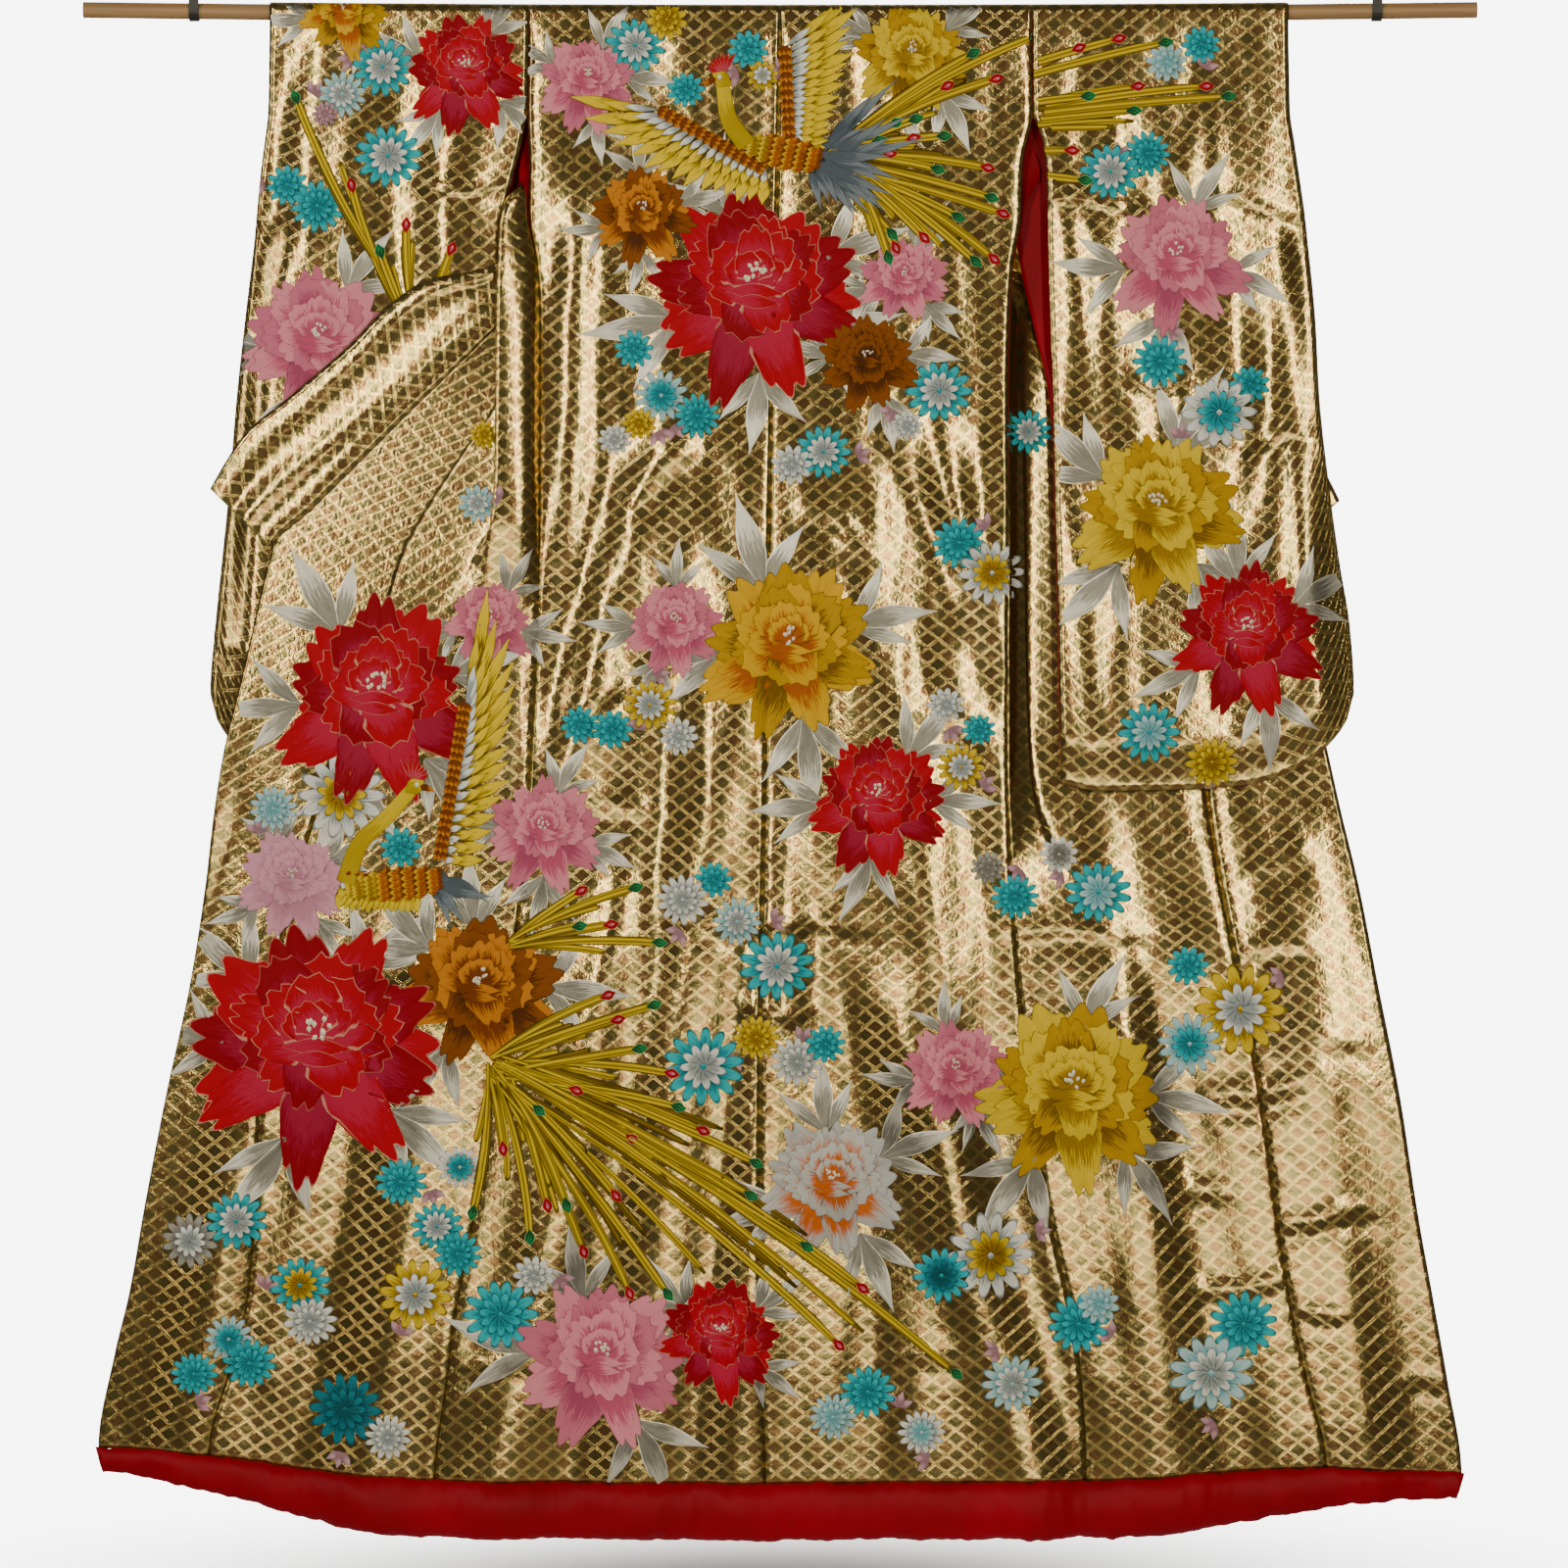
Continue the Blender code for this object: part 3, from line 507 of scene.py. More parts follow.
def okumi_line(side, level):
    """The overlap's seam and its outer edge, which is the collar's seam as far down as that goes."""
    name = "left" if side < 0 else "right"
    depth = FRONT_DEPTH.read(name, level)
    inner = Vector((OKUMI_SEAMS.read(name, level), depth, level))
    if level > COLLAR_END:
        return inner, collar_line(side, level)[0]
    return inner, Vector((FRONT_EDGES.read(name, level), depth, level))


print("the left overlap's two edges", okumi_line(-1, HEM_HEIGHT))

# %% [markdown]
# A front's cloth runs through its stations and on to the line that it is sewn to. Where it hangs free it
# takes the same folds as the back, so that the skirt reads as one cloth.

# %% The fronts
# Where the folds beside the side seam begin and are full, and how far across the front they reach.
BESIDE_SEAM_FROM = -0.240
BESIDE_SEAM_TO = -0.300
BESIDE_SEAM_ACROSS = 0.15
# Where the fronts begin to share the body's folds, and where they share them fully.
SHARED_FOLDS_FROM = -0.750
SHARED_FOLDS_TO = -1.100
# The cloth that the pleat takes up.
PLEAT_FULLNESS = 0.050


def front_place(side):
    table = FRONT_LEFT if side < 0 else FRONT_RIGHT
    seam = "left" if side < 0 else "right"
    stations = [name for name in table.names[1:] if not name.endswith("_y")]
    known = {}

    def curve(level):
        start = BODY.read(seam, level)
        places = []
        for name in stations:
            out = table.read(name, level)
            places.append(Vector((start + side * out, table.read(name + "_y", level), level)))
        end, beyond = (collar_line if level > COLLAR_POINT else okumi_line)(side, level)
        width = (end - places[0]).length + PLEAT_FULLNESS
        before = 2 * places[0] - places[1]
        beyond = end + (beyond - end).normalized() * (end - places[-1]).length
        return [before] + places + [end, beyond], width

    def place(across, down):
        level = -max(0.0, down)
        if level not in known:
            known[level] = curve(level)
        places, width = known[level]
        point = through(places, within(across, width))
        if down <= 0:
            return settle(over_pole(point.x, 1, down))
        beside = easy(BESIDE_SEAM_FROM, BESIDE_SEAM_TO, level) * (1 - easy(0, BESIDE_SEAM_ACROSS, across))
        lower = easy(SHARED_FOLDS_FROM, SHARED_FOLDS_TO, level)
        point.y -= drape(point.x, level) * max(beside, lower)
        point.y += beside_seam(min(across, 1 - across) * width, level) * max(beside, lower)
        point.z = level
        return settle(point)

    return place


print("the left front's foot", front_place(-1)(1, -HEM_HEIGHT))

# %% [markdown]
# The overlap is a flat strip between its seam and the free edge. Beside the collar's turn it keeps a
# little apart, as a seam does that is bent over.

# %% The overlaps
# The wider gap of a seam that is bent, how soon it closes, and the level where the overlap hangs free.
BENT_SEAM = 0.0008
BENT_SEAM_EASE = 0.04
OKUMI_FREE = -0.440


def okumi_place(side):
    def place(across, down):
        level = -down
        inner, outer = okumi_line(side, level)
        width = (outer - inner).length
        clear = BENT_SEAM * (1 - easy(OKUMI_FREE, OKUMI_FREE - BENT_SEAM_EASE, level)) / width
        point = inner.lerp(outer, clear + within(across, width) * (1 - clear))
        lower = easy(SHARED_FOLDS_FROM, SHARED_FOLDS_TO, level)
        point.y += (beside_seam(across * width, level) - drape(point.x, level)) * lower
        return settle(point)

    return place


print("the left overlap's foot", okumi_place(-1)(1, -HEM_HEIGHT))

# %% [markdown]
# The collar band has long soft folds, since it is doubled over. A short piece joins its halves at the neck.

# %% The collar
# Long soft folds that run the length of the collar band: place across it, rise and half width.
BAND_FOLDS = ((0.16, 2.6, 0.07), (0.40, 4.2, 0.10), (0.64, -2.4, 0.10), (0.83, 3.4, 0.08))
# The neck piece: half its width above and below, its depth and its lean.
NECK_HALF = 0.088
NECK_LOW_HALF = 0.072
NECK_DROP = 0.058
NECK_LEAN = 0.004


def band_folds(across, down):
    total = 0.0
    for middle, rise, half_width in BAND_FOLDS:
        wander = middle + 0.05 * math.sin(down * 14 + middle * 9)
        away = (across - wander) / half_width
        total += rise * math.exp(-away * away) * (0.6 + 0.4 * math.sin(down * 9 + middle * 20))
    return total * MM * easy(0, 0.12, across) * (1 - easy(0.90, 1, across))


def collar_place(side):
    def place(across, down):
        level = -down
        seam, edge = collar_line(side, level)
        width = (edge - seam).length
        bent = BENT_SEAM * (1 - easy(COLLAR_POINT, COLLAR_POINT - BENT_SEAM_EASE, level))
        clear = (SEAM / 2 + bent) / width
        point = seam.lerp(edge, clear + across * (1 - clear))
        point.y -= band_folds(across, down) * easy(0.30, 0.42, down)
        return settle(point)

    return place


def neck_place(across, down):
    part = 2 * across - 1
    if down < 0:
        return settle(over_pole(part * (NECK_HALF - SEAM), 1, down))
    share = down / NECK_DROP
    half = NECK_HALF + (NECK_LOW_HALF - NECK_HALF) * share - SEAM
    depth = FOLD_RADIUS + NECK_LEAN * share
    return settle(Vector((part * half, depth, -down)))


print("the left collar's foot", collar_place(-1)(1, -COLLAR_END))

# %% [markdown]
# A sleeve's halves hang on both sides of the pole and meet at the bottom and along most of the outer
# edge. Its inner edge is sewn to the body only at the top. Below that the far half reaches in behind it.

# %% The sleeves
# Half the gap between the two halves where they meet.
SLEEVE_MEET = 0.00135
# The armhole: where it begins, and between which levels its far half draws back from reaching in, with how
# far it reaches and bulges, and how softly each of these comes in.
ARMHOLE_TOP = -0.128
ARMHOLE_LOW = -0.240
ARMHOLE_FOOT = -0.560
ARMHOLE_REACH = 0.044
ARMHOLE_BULGE = 0.007
ARMHOLE_SEWN_EASE = 0.022
ARMHOLE_REACH_EASE = 0.06
ARMHOLE_BULGE_ACROSS = 0.25
# The open cuff, then the shares across and down from which the two halves close up.
CUFF_DEPTH = -0.240
CUFF_EASE = 0.080
OUTER_CLOSED_FROM = 0.86
BOTTOM_CLOSED_FROM = 0.93


def sleeve_place(hand, side):
    """Half a sleeve. hand is "left" or "right", and side is -1 for its half towards -Y."""

    def place(across, down):
        share = max(0.0, down)
        level = share * SLEEVE_BOTTOM.read("drop", across)
        inner = SLEEVES.read(hand + "_inner", level)
        outer = SLEEVES.read(hand + "_outer", level)
        sewn = 1 - easy(ARMHOLE_TOP, ARMHOLE_TOP - ARMHOLE_SEWN_EASE, level)
        inner += (BODY.read(hand, level) - inner) * sewn
        reach = easy(ARMHOLE_TOP, ARMHOLE_TOP - ARMHOLE_REACH_EASE, level)
        reach *= 1 - easy(ARMHOLE_LOW, ARMHOLE_FOOT, level)
        reach *= ARMHOLE_REACH * (side > 0)
        inner -= math.copysign(reach, outer - inner)
        x = inner + (outer - inner) * across
        x += math.copysign(SEAM * (1 - across), outer - inner)
        if down < 0:
            return settle(over_pole(x, side, down * FOLD_ARC))
        shut = easy(OUTER_CLOSED_FROM, 1, across) * easy(CUFF_DEPTH, CUFF_DEPTH - CUFF_EASE, level)
        closed = max(shut, easy(BOTTOM_CLOSED_FROM, 1, share))
        depth = FOLD_RADIUS + (SLEEVE_MEET - FOLD_RADIUS) * closed
        depth += ARMHOLE_BULGE * reach / ARMHOLE_REACH * (1 - easy(0, ARMHOLE_BULGE_ACROSS, across))
        fall = crease_rise(SLEEVE_CREASES, x, level) + unevenness(x, level)
        fall *= easy(FOLDS_BEGIN, FOLDS_FULL, level)
        return settle(Vector((x, side * depth - fall, level)))

    return place


print("the left sleeve's outer foot", sleeve_place("left", -1)(1, 1))

# %% [markdown]
# A node tree is easiest to read as a list of steps, so one helper adds a node, sets it and joins it up.
# Colours are written as on a screen and turned to the renderer's linear numbers in one place.

# %% Helpers for the materials


def srgb(text):
    """A colour written as six hexadecimal digits, as the renderer's linear numbers."""
    parts = [int(text[i : i + 2], 16) / 255 for i in (0, 2, 4)]
    return [v / 12.92 if v <= 0.04045 else ((v + 0.055) / 1.055) ** 2.4 for v in parts]


def rgba(text):
    return (*srgb(text), 1.0)


def new_material(name):
    made = bpy.data.materials.new(name)
    made.use_nodes = True
    tree = made.node_tree
    return made, tree, tree.nodes["Principled BSDF"]


def add(tree, kind, inputs=(), output=0, **settings):
    """Adds a node, sets its inputs from numbers or other nodes' outputs, and gives one of its outputs."""
    made = tree.nodes.new("ShaderNode" + kind)
    for key, value in settings.items():
        setattr(made, key, value)
    for key, value in dict(inputs).items():
        if isinstance(value, bpy.types.NodeSocket):
            tree.links.new(value, made.inputs[key])
        else:
            made.inputs[key].default_value = value
    return made.outputs[output]


def finish_with(tree, shader, links, **fixed):
    """Joins the colour, roughness and normal sockets to the shader, and sets the rest as plain values."""
    for key, value in links.items():
        tree.links.new(value, shader.inputs[key])
    for key, value in fixed.items():
        shader.inputs[key.replace("_", " ")].default_value = value


# The settings of a Mix node for two colours, and of a Map Range node that eases in and out.
COLOURS = {"output": 2, "data_type": "RGBA"}
SMOOTH = {"interpolation_type": "SMOOTHSTEP"}


def cells(size):
    """The scale that gives a pattern cells of this size, in millimetres."""
    return 1 / (size * MM)


print("mid grey is", round(srgb("808080")[0], 3))

# %% [markdown]
# The ground is woven gold brocade: flat strips of gilded paper laid into coloured silk. Double lines of gold
# cross in diamonds, over purple and green in turn. A picture of it would have no thickness, so the diamonds
# are worked out on each panel's flat measure, and the same numbers raise them as little cushions.

# %% The gold brocade
# A diamond's size in metres, then shares of it from its edge inwards: the double line and its half width,
# faded and full, and where the diamond's own field begins and is full.
LATTICE_WIDE = 28 * MM
LATTICE_TALL = 22 * MM
LINE_AT = 0.075
LINE_FADED, LINE_FULL = 0.036, 0.016
FIELD_FROM, FIELD_FULL = 0.11, 0.16
# Sizes in millimetres. The foil's real crumples are too fine to show, so they are drawn coarser.
SOFT_DENTS = 16.667
RAGGED = 9.0909
CRUMPLES = 7.6923
FLAKES = 3.0303


def brocade_material():
    """Gold foil is a metal, almost smooth, so its colour is its reflection and each crumple flashes."""
    made, tree, shader = new_material("gold brocade")
    flat = add(tree, "UVMap", uv_map="cloth")
    split = add(tree, "SeparateXYZ", {0: flat}).node
    wide = add(tree, "Math", {0: split.outputs[0], 1: LATTICE_WIDE}, operation="DIVIDE")
    tall = add(tree, "Math", {0: split.outputs[1], 1: LATTICE_TALL}, operation="DIVIDE")
    rising = add(tree, "Math", {0: wide, 1: tall}, operation="ADD")
    falling = add(tree, "Math", {0: wide, 1: tall}, operation="SUBTRACT")
    near_a = add(tree, "Math", {0: rising, 1: 0.5}, operation="PINGPONG")
    near_b = add(tree, "Math", {0: falling, 1: 0.5}, operation="PINGPONG")
    near = add(tree, "Math", {0: near_a, 1: near_b}, operation="MINIMUM")
    from_line = add(tree, "Math", {0: near, 1: LINE_AT}, operation="SUBTRACT")
    from_line = add(tree, "Math", {0: from_line}, operation="ABSOLUTE")
    line = {"Value": from_line, "From Min": LINE_FADED, "From Max": LINE_FULL}
    line = add(tree, "MapRange", line, **SMOOTH)
    inside = {"Value": near, "From Min": FIELD_FROM, "From Max": FIELD_FULL}
    inside = add(tree, "MapRange", inside, **SMOOTH)
    cell_a = add(tree, "Math", {0: rising}, operation="FLOOR")
    cell_b = add(tree, "Math", {0: falling}, operation="FLOOR")
    both = add(tree, "Math", {0: cell_a, 1: cell_b}, operation="ADD")
    odd = add(tree, "Math", {0: both, 1: 2.0}, operation="FLOORED_MODULO")

    cell_colour = add(tree, "Mix", {0: odd, 6: rgba("765434"), 7: rgba("605a36")}, **COLOURS)
    depth = add(tree, "Math", {0: inside, 1: 0.76}, operation="MULTIPLY")
    colour = add(tree, "Mix", {0: depth, 6: rgba("b8a264"), 7: cell_colour}, **COLOURS)
    metal = add(tree, "MapRange", {"Value": depth, "To Min": 0.97, "To Max": 0.85})

    place = add(tree, "TexCoord", output="Object")
    dents = {"Vector": place, "Scale": cells(SOFT_DENTS), "Detail": 4.0, "Roughness": 0.6}
    coarse = add(tree, "TexNoise", dents)
    pulled = add(tree, "Mapping", {"Vector": place, "Scale": (1.0, 1.0, 0.55)})
    ragged = {"Vector": place, "Scale": cells(RAGGED), "Detail": 2.0}
    ragged = add(tree, "TexNoise", ragged, output=1)
    ragged = {0: ragged, 1: (0.010, 0.010, 0.010), 2: pulled}
    ragged = add(tree, "VectorMath", ragged, operation="MULTIPLY_ADD")
    crumple = {"Vector": ragged, "Scale": cells(CRUMPLES)}
    crumple = add(tree, "TexVoronoi", crumple, feature="DISTANCE_TO_EDGE")
    flakes = {"Vector": ragged, "Scale": cells(FLAKES)}
    flakes = add(tree, "TexVoronoi", flakes, feature="DISTANCE_TO_EDGE")
    pillow = add(tree, "Math", {0: near, 1: 0.5}, operation="POWER")

    # The heights add up in the bump, in millimetres.
    height = add(tree, "Math", {0: pillow, 1: 0.12}, operation="MULTIPLY")
    for rise, share in ((coarse, 0.26), (crumple, 0.18), (flakes, 0.08), (line, 0.07)):
        height = add(tree, "Math", {0: rise, 1: share, 2: height}, operation="MULTIPLY_ADD")
    bump = add(tree, "Bump", {"Height": height, "Distance": MM, "Strength": 1.0})
    rough = {"Value": coarse, "From Min": 0.3, "From Max": 0.7, "To Min": 0.12, "To Max": 0.18}
    rough = add(tree, "MapRange", rough)
    finish_with(tree, shader, {"Base Color": colour, "Metallic": metal, "Roughness": rough, "Normal": bump})
    return made


BROCADE = brocade_material()
print(BROCADE.name, "steps", len(BROCADE.node_tree.nodes))

# %% [markdown]
# The lining and the hem roll are woven silk satin, dyed red. On a flat ribbon it would gleam, but gathered
# and seen from afar it only glows, so its highlights are kept low.

# %% The red satin
# Sizes in millimetres: the dye's slow changes of tone, and the weave. A satin thread is 0.1 mm wide, too
# fine to show, so it is drawn ten times as coarse.
DYE_TONES = 111.11
SATIN_WEAVE = 1.1111


def satin_material():
    """Dyed silk: a deep even red with a soft gloss and a trace of weave."""
    made, tree, shader = new_material("red silk satin")
    place = add(tree, "TexCoord", output="Object")
    tone = add(tree, "TexNoise", {"Vector": place, "Scale": cells(DYE_TONES), "Detail": 3.0})
    colour = add(tree, "Mix", {0: tone, 6: rgba("6c0010"), 7: rgba("9a0020")}, **COLOURS)
    weave = add(tree, "TexNoise", {"Vector": place, "Scale": cells(SATIN_WEAVE), "Detail": 1.0})
    bump = add(tree, "Bump", {"Height": weave, "Distance": 0.2 * MM, "Strength": 0.5})
    links = {"Base Color": colour, "Normal": bump}
    finish_with(tree, shader, links, Roughness=0.5, Specular_IOR_Level=0.10)
    return made


SATIN = satin_material()
print(SATIN.name, "steps", len(SATIN.node_tree.nodes))

# %% [markdown]
# The pole is planed wood, and its hooks are flat steel, painted black. Both are small in the whole, so a
# grain along the pole and a fine grit in the paint are enough.

# %% The wood and the black steel
# Sizes in millimetres: a streak of the grain, and the paint's grit, drawn coarser than it is.
GRAIN_LONG = 238.1
GRAIN_WIDE = 7.9365
PAINT_GRIT = 1.4286


def wood_material():
    """Planed wood: matt, pale and streaked along its length."""
    made, tree, shader = new_material("pale wood")
    place = add(tree, "TexCoord", output="Object")
    streaks = (cells(GRAIN_LONG), cells(GRAIN_WIDE), cells(GRAIN_WIDE))
    along = add(tree, "Mapping", {"Vector": place, "Scale": streaks})
    grain = add(tree, "TexNoise", {"Vector": along, "Scale": 1.0, "Detail": 5.0, "Distortion": 0.6})
    colour = add(tree, "Mix", {0: grain, 6: rgba("6f5230"), 7: rgba("b39266")}, **COLOURS)
    bump = add(tree, "Bump", {"Height": grain, "Distance": 0.4 * MM, "Strength": 0.6})
    finish_with(tree, shader, {"Base Color": colour, "Normal": bump}, Roughness=0.5)
    return made


def steel_material():
    """Brushed-on black paint: an even colour whose gloss varies a little with its grit."""
    made, tree, shader = new_material("black painted steel")
    place = add(tree, "TexCoord", output="Object")
    grit = add(tree, "TexNoise", {"Vector": place, "Scale": cells(PAINT_GRIT), "Detail": 2.0})
    rough = add(tree, "MapRange", {"Value": grit, "To Min": 0.35, "To Max": 0.60})
    bump = add(tree, "Bump", {"Height": grit, "Distance": 0.2 * MM, "Strength": 0.4})
    finish_with(tree, shader, {"Roughness": rough, "Normal": bump}, Base_Color=rgba("1b1b1c"))
    return made


WOOD = wood_material()
STEEL = steel_material()
print(WOOD.name, "and", STEEL.name)

# %% [markdown]
# A panel starts as a flat grid. Its points are carried to their places, and the distances between them
# are kept as the cloth's flat measure, which the brocade's pattern follows. Solidify then gives it the
# thickness of the two silks, with the brocade outside and the red lining inside.

# %% Measuring a panel


def rows_down(from_down, to_down, steps, fold_steps=0):
    """Distances down the cloth, with some more of them round the pole."""
    over = [-FOLD_ARC * (1 - i / fold_steps) for i in range(fold_steps)]
    return over + [from_down + (to_down - from_down) * i / steps for i in range(steps + 1)]


def flat_measure(columns, rows, points):
    """Each point's distance across from the first edge and down from the top, measured along the cloth."""
    flat = {}
    down = 0.0
    for row in range(rows + 1):
        if row:
            down += (points[columns // 2, row] - points[columns // 2, row - 1]).length
        across = 0.0
        for column in range(columns + 1):
            if column:
                across += (points[column, row] - points[column - 1, row]).length
            flat[column, row] = (across, -down)
    return flat


def flat_cut(columns, rows, flat):
    """The panel's flat width and length, and the area of its cut."""
    widths = [flat[columns, row][0] for row in range(rows + 1)]
    drops = [-flat[0, row][1] for row in range(rows + 1)]
    area = sum((widths[i] + widths[i + 1]) / 2 * (drops[i + 1] - drops[i]) for i in range(rows))
    return max(widths), drops[-1], area


print("rows round the pole", rows_down(0, 0.1, 1, 3)[:3])

# %% [markdown]
# Every new object ends in the same way: its shape becomes a smooth mesh with its finishes, and is put in
# the scene at the origin, with its place in its mesh.

# %% Adding a panel
# The thickness of a panel.
CLOTH = 0.0020


def add_object(name, shape, *finishes):
    """Turns a finished shape into an object of the scene."""
    mesh = bpy.data.meshes.new(name)
    shape.to_mesh(mesh)
    shape.free()
    mesh.shade_smooth()
    for finish in finishes:
        mesh.materials.append(finish)
    made = bpy.data.objects.new(name, mesh)
    bpy.context.scene.collection.objects.link(made)
    return made


cuts = {}


def add_panel(name, columns, downs, place, turned=False, inner=SATIN):
    """A wall of cloth whose first face is the outer one. turned is for a grid that runs the other way."""
    rows = len(downs) - 1
    shape = bmesh.new()
    bmesh.ops.create_grid(shape, x_segments=columns, y_segments=rows, size=0.5)
    cells_of = {}
    points = {}
    for vertex in shape.verts:
        column = round((vertex.co.x + 0.5) * columns)
        row = round((0.5 - vertex.co.y) * rows)
        vertex.co = place(column / columns, downs[row])
        cells_of[vertex] = (column, row)
        points[column, row] = vertex.co.copy()
    flat = flat_measure(columns, rows, points)
    layer = shape.loops.layers.uv.new("cloth")
    for face in shape.faces:
        for corner in face.loops:
            corner[layer].uv = flat[cells_of[corner.vert]]
    if turned:
        bmesh.ops.reverse_faces(shape, faces=shape.faces)
    made = add_object(name, shape, BROCADE, inner)
    wall = made.modifiers.new("Wall", "SOLIDIFY")
    wall.thickness = CLOTH
    wall.offset = 0
    wall.material_offset = 1
    wall.material_offset_rim = 1
    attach(made, "root")
    cuts[name] = flat_cut(columns, rows, flat)
    return made


# %% [markdown]
# Each panel gets the rows and columns that its smallest folds need. The collar shows both its faces, so it
# has brocade inside and out.

# %% The panels
BODY_DOWNS = rows_down(0.0, -HEM_HEIGHT, 214, 6)
OVERLAP_DOWNS = rows_down(-COLLAR_POINT, -HEM_HEIGHT, 180)
COLLAR_DOWNS = rows_down(0.0, -COLLAR_END, 150)
NECK_DOWNS = rows_down(0.0, NECK_DROP, 8, 6)
# A sleeve's rows are in shares: of the turn round the pole, and then of the drop to its bottom.
SLEEVE_DOWNS = [-(1 - i / 6) for i in range(6)] + [i / 124 for i in range(125)]

panels = {}
for hand, side in (("left", -1), ("right", 1)):
    left = side < 0
    made = {
        "back_" + hand: (56, BODY_DOWNS, back_place(side), left),
        "front_" + hand: (84, BODY_DOWNS, front_place(side), left),
        "okumi_" + hand: (28, OVERLAP_DOWNS, okumi_place(side), left),
        "collar_" + hand: (16, COLLAR_DOWNS, collar_place(side), left, BROCADE),
        "sleeve_" + hand + "_back": (44, SLEEVE_DOWNS, sleeve_place(hand, -1), left),
        "sleeve_" + hand + "_front": (44, SLEEVE_DOWNS, sleeve_place(hand, 1), not left),
    }
    for node, measures in made.items():
        panels[node] = add_panel("cloth_" + node, *measures)
panels["collar_neck"] = add_panel("cloth_collar_neck", 16, NECK_DOWNS, neck_place, False, BROCADE)
for node, panel in panels.items():
    stretches = [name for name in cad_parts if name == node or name.startswith(node + "_")]
    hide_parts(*stretches)
print("panels", len(panels))

# %% [markdown]
# The hem roll (fuki) is the lining rolled over wadding, gathered a little as it is sewn on. It starts as a
# ball drawn out long, since that closes its ends in one go.

# %% The hem roll
ROLL_SIDES = 36
ROLL_RINGS = 520
# The roll's height and thickness, how far it stands out at both ends and tucks in under the brocade, and
# how thin it grows towards its ends, over what share of its length.
ROLL_TALL = 0.074
ROLL_THICK = 0.036
ROLL_PROUD = 0.004
ROLL_TUCK = 0.0025
ROLL_END_TALL = 0.46
ROLL_END_SPAN = 0.22
# How bluntly the very ends close.
ROLL_END_BLUNT = 60
# Each gather is a rise in metres, and the width of one.
GATHERS = ((0.0026, 0.021), (0.0018, 0.011), (0.0030, 0.060))


def roll_gather(x, around):
    """How far the satin stands out from the roll's plain form, gathered towards the seam at its top."""
    toward_seam = 0.45 + 0.55 * math.sin(around + math.pi) ** 2
    return toward_seam * sum(
        rise * noise.noise(Vector((x / wide, 0.9 * math.cos(around), 0.9 * math.sin(around) + 5 * wide)))
        for rise, wide in GATHERS
    )


def add_roll():
    shape = bmesh.new()
    bmesh.ops.create_uvsphere(shape, u_segments=ROLL_SIDES, v_segments=ROLL_RINGS, radius=1)
    left = FRONT_EDGES.read("left", HEM_HEIGHT) - ROLL_PROUD
    right = FRONT_EDGES.read("right", HEM_HEIGHT) + ROLL_PROUD
    for vertex in shape.verts:
        along = math.acos(max(-1.0, min(1.0, vertex.co.z))) / math.pi
        x = left + (right - left) * along
        around = math.atan2(vertex.co.y, vertex.co.x)
        girth = min(1.0, math.hypot(vertex.co.x, vertex.co.y) * ROLL_END_BLUNT)
        from_end = easy(0, ROLL_END_SPAN, min(along, 1 - along))
        taper = girth * (ROLL_END_TALL + (1 - ROLL_END_TALL) * from_end)
        tall = ROLL_TALL * taper / 2
        middle = HEM.read("height", round(x, 4)) - tall + ROLL_TUCK
        swell = roll_gather(x, around) * girth
        out = (ROLL_THICK * taper / 2 + swell) * math.cos(around)
        depth = -HANG_DEPTH - drape(x, HEM_HEIGHT)
        vertex.co = Vector((x, depth + out, middle - (tall + swell) * math.sin(around)))
    made = add_object("hem_roll_satin", shape, SATIN)
    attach(made, "root")
    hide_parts("hem_roll")
    return made


roll = add_roll()
print(roll.name, "faces", len(roll.data.polygons))

# %% [markdown]
# The pole is a plain rod that bends a little under the weight. The solids have all of the hooks' shape, so
# these are kept and only painted.

# %% The pole and the hooks
POLE_RADIUS = 0.0105


def add_rod():
    shape = bmesh.new()
    round_rod = {"cap_ends": True, "segments": 40, "radius1": POLE_RADIUS, "radius2": POLE_RADIUS}
    bmesh.ops.create_cone(shape, depth=POLE_LENGTH, **round_rod)
    long_edges = [edge for edge in shape.edges if abs(edge.verts[0].co.z - edge.verts[1].co.z) > 1]
    bmesh.ops.subdivide_edges(shape, edges=long_edges, cuts=30)
    for vertex in shape.verts:
        x = vertex.co.z
        vertex.co = Vector((x, vertex.co.x, vertex.co.y + POLE_SAG * (2 * x / POLE_LENGTH) ** 2))
    bmesh.ops.recalc_face_normals(shape, faces=shape.faces)
    made = add_object("wooden_pole", shape, WOOD)
    made.data.set_sharp_from_angle(angle=math.radians(40))
    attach(made, "root")
    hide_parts("pole")
    return made


rod = add_rod()
for name in ("hook_left", "hook_right"):
    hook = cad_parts[name]
    hook.data.materials.clear()
    hook.data.materials.append(STEEL)
print(rod.name, "faces", len(rod.data.polygons))

# %% [markdown]
# The embroidery is built as it is sewn: each petal, leaf or feather is its own padded patch of silk, laid
# over the ones before it. A patch is drawn flat and then pressed on to the panel, so it follows every fold.
# Painted on the ground it would throw no shadow. First come the silks, shaded from root to tip.

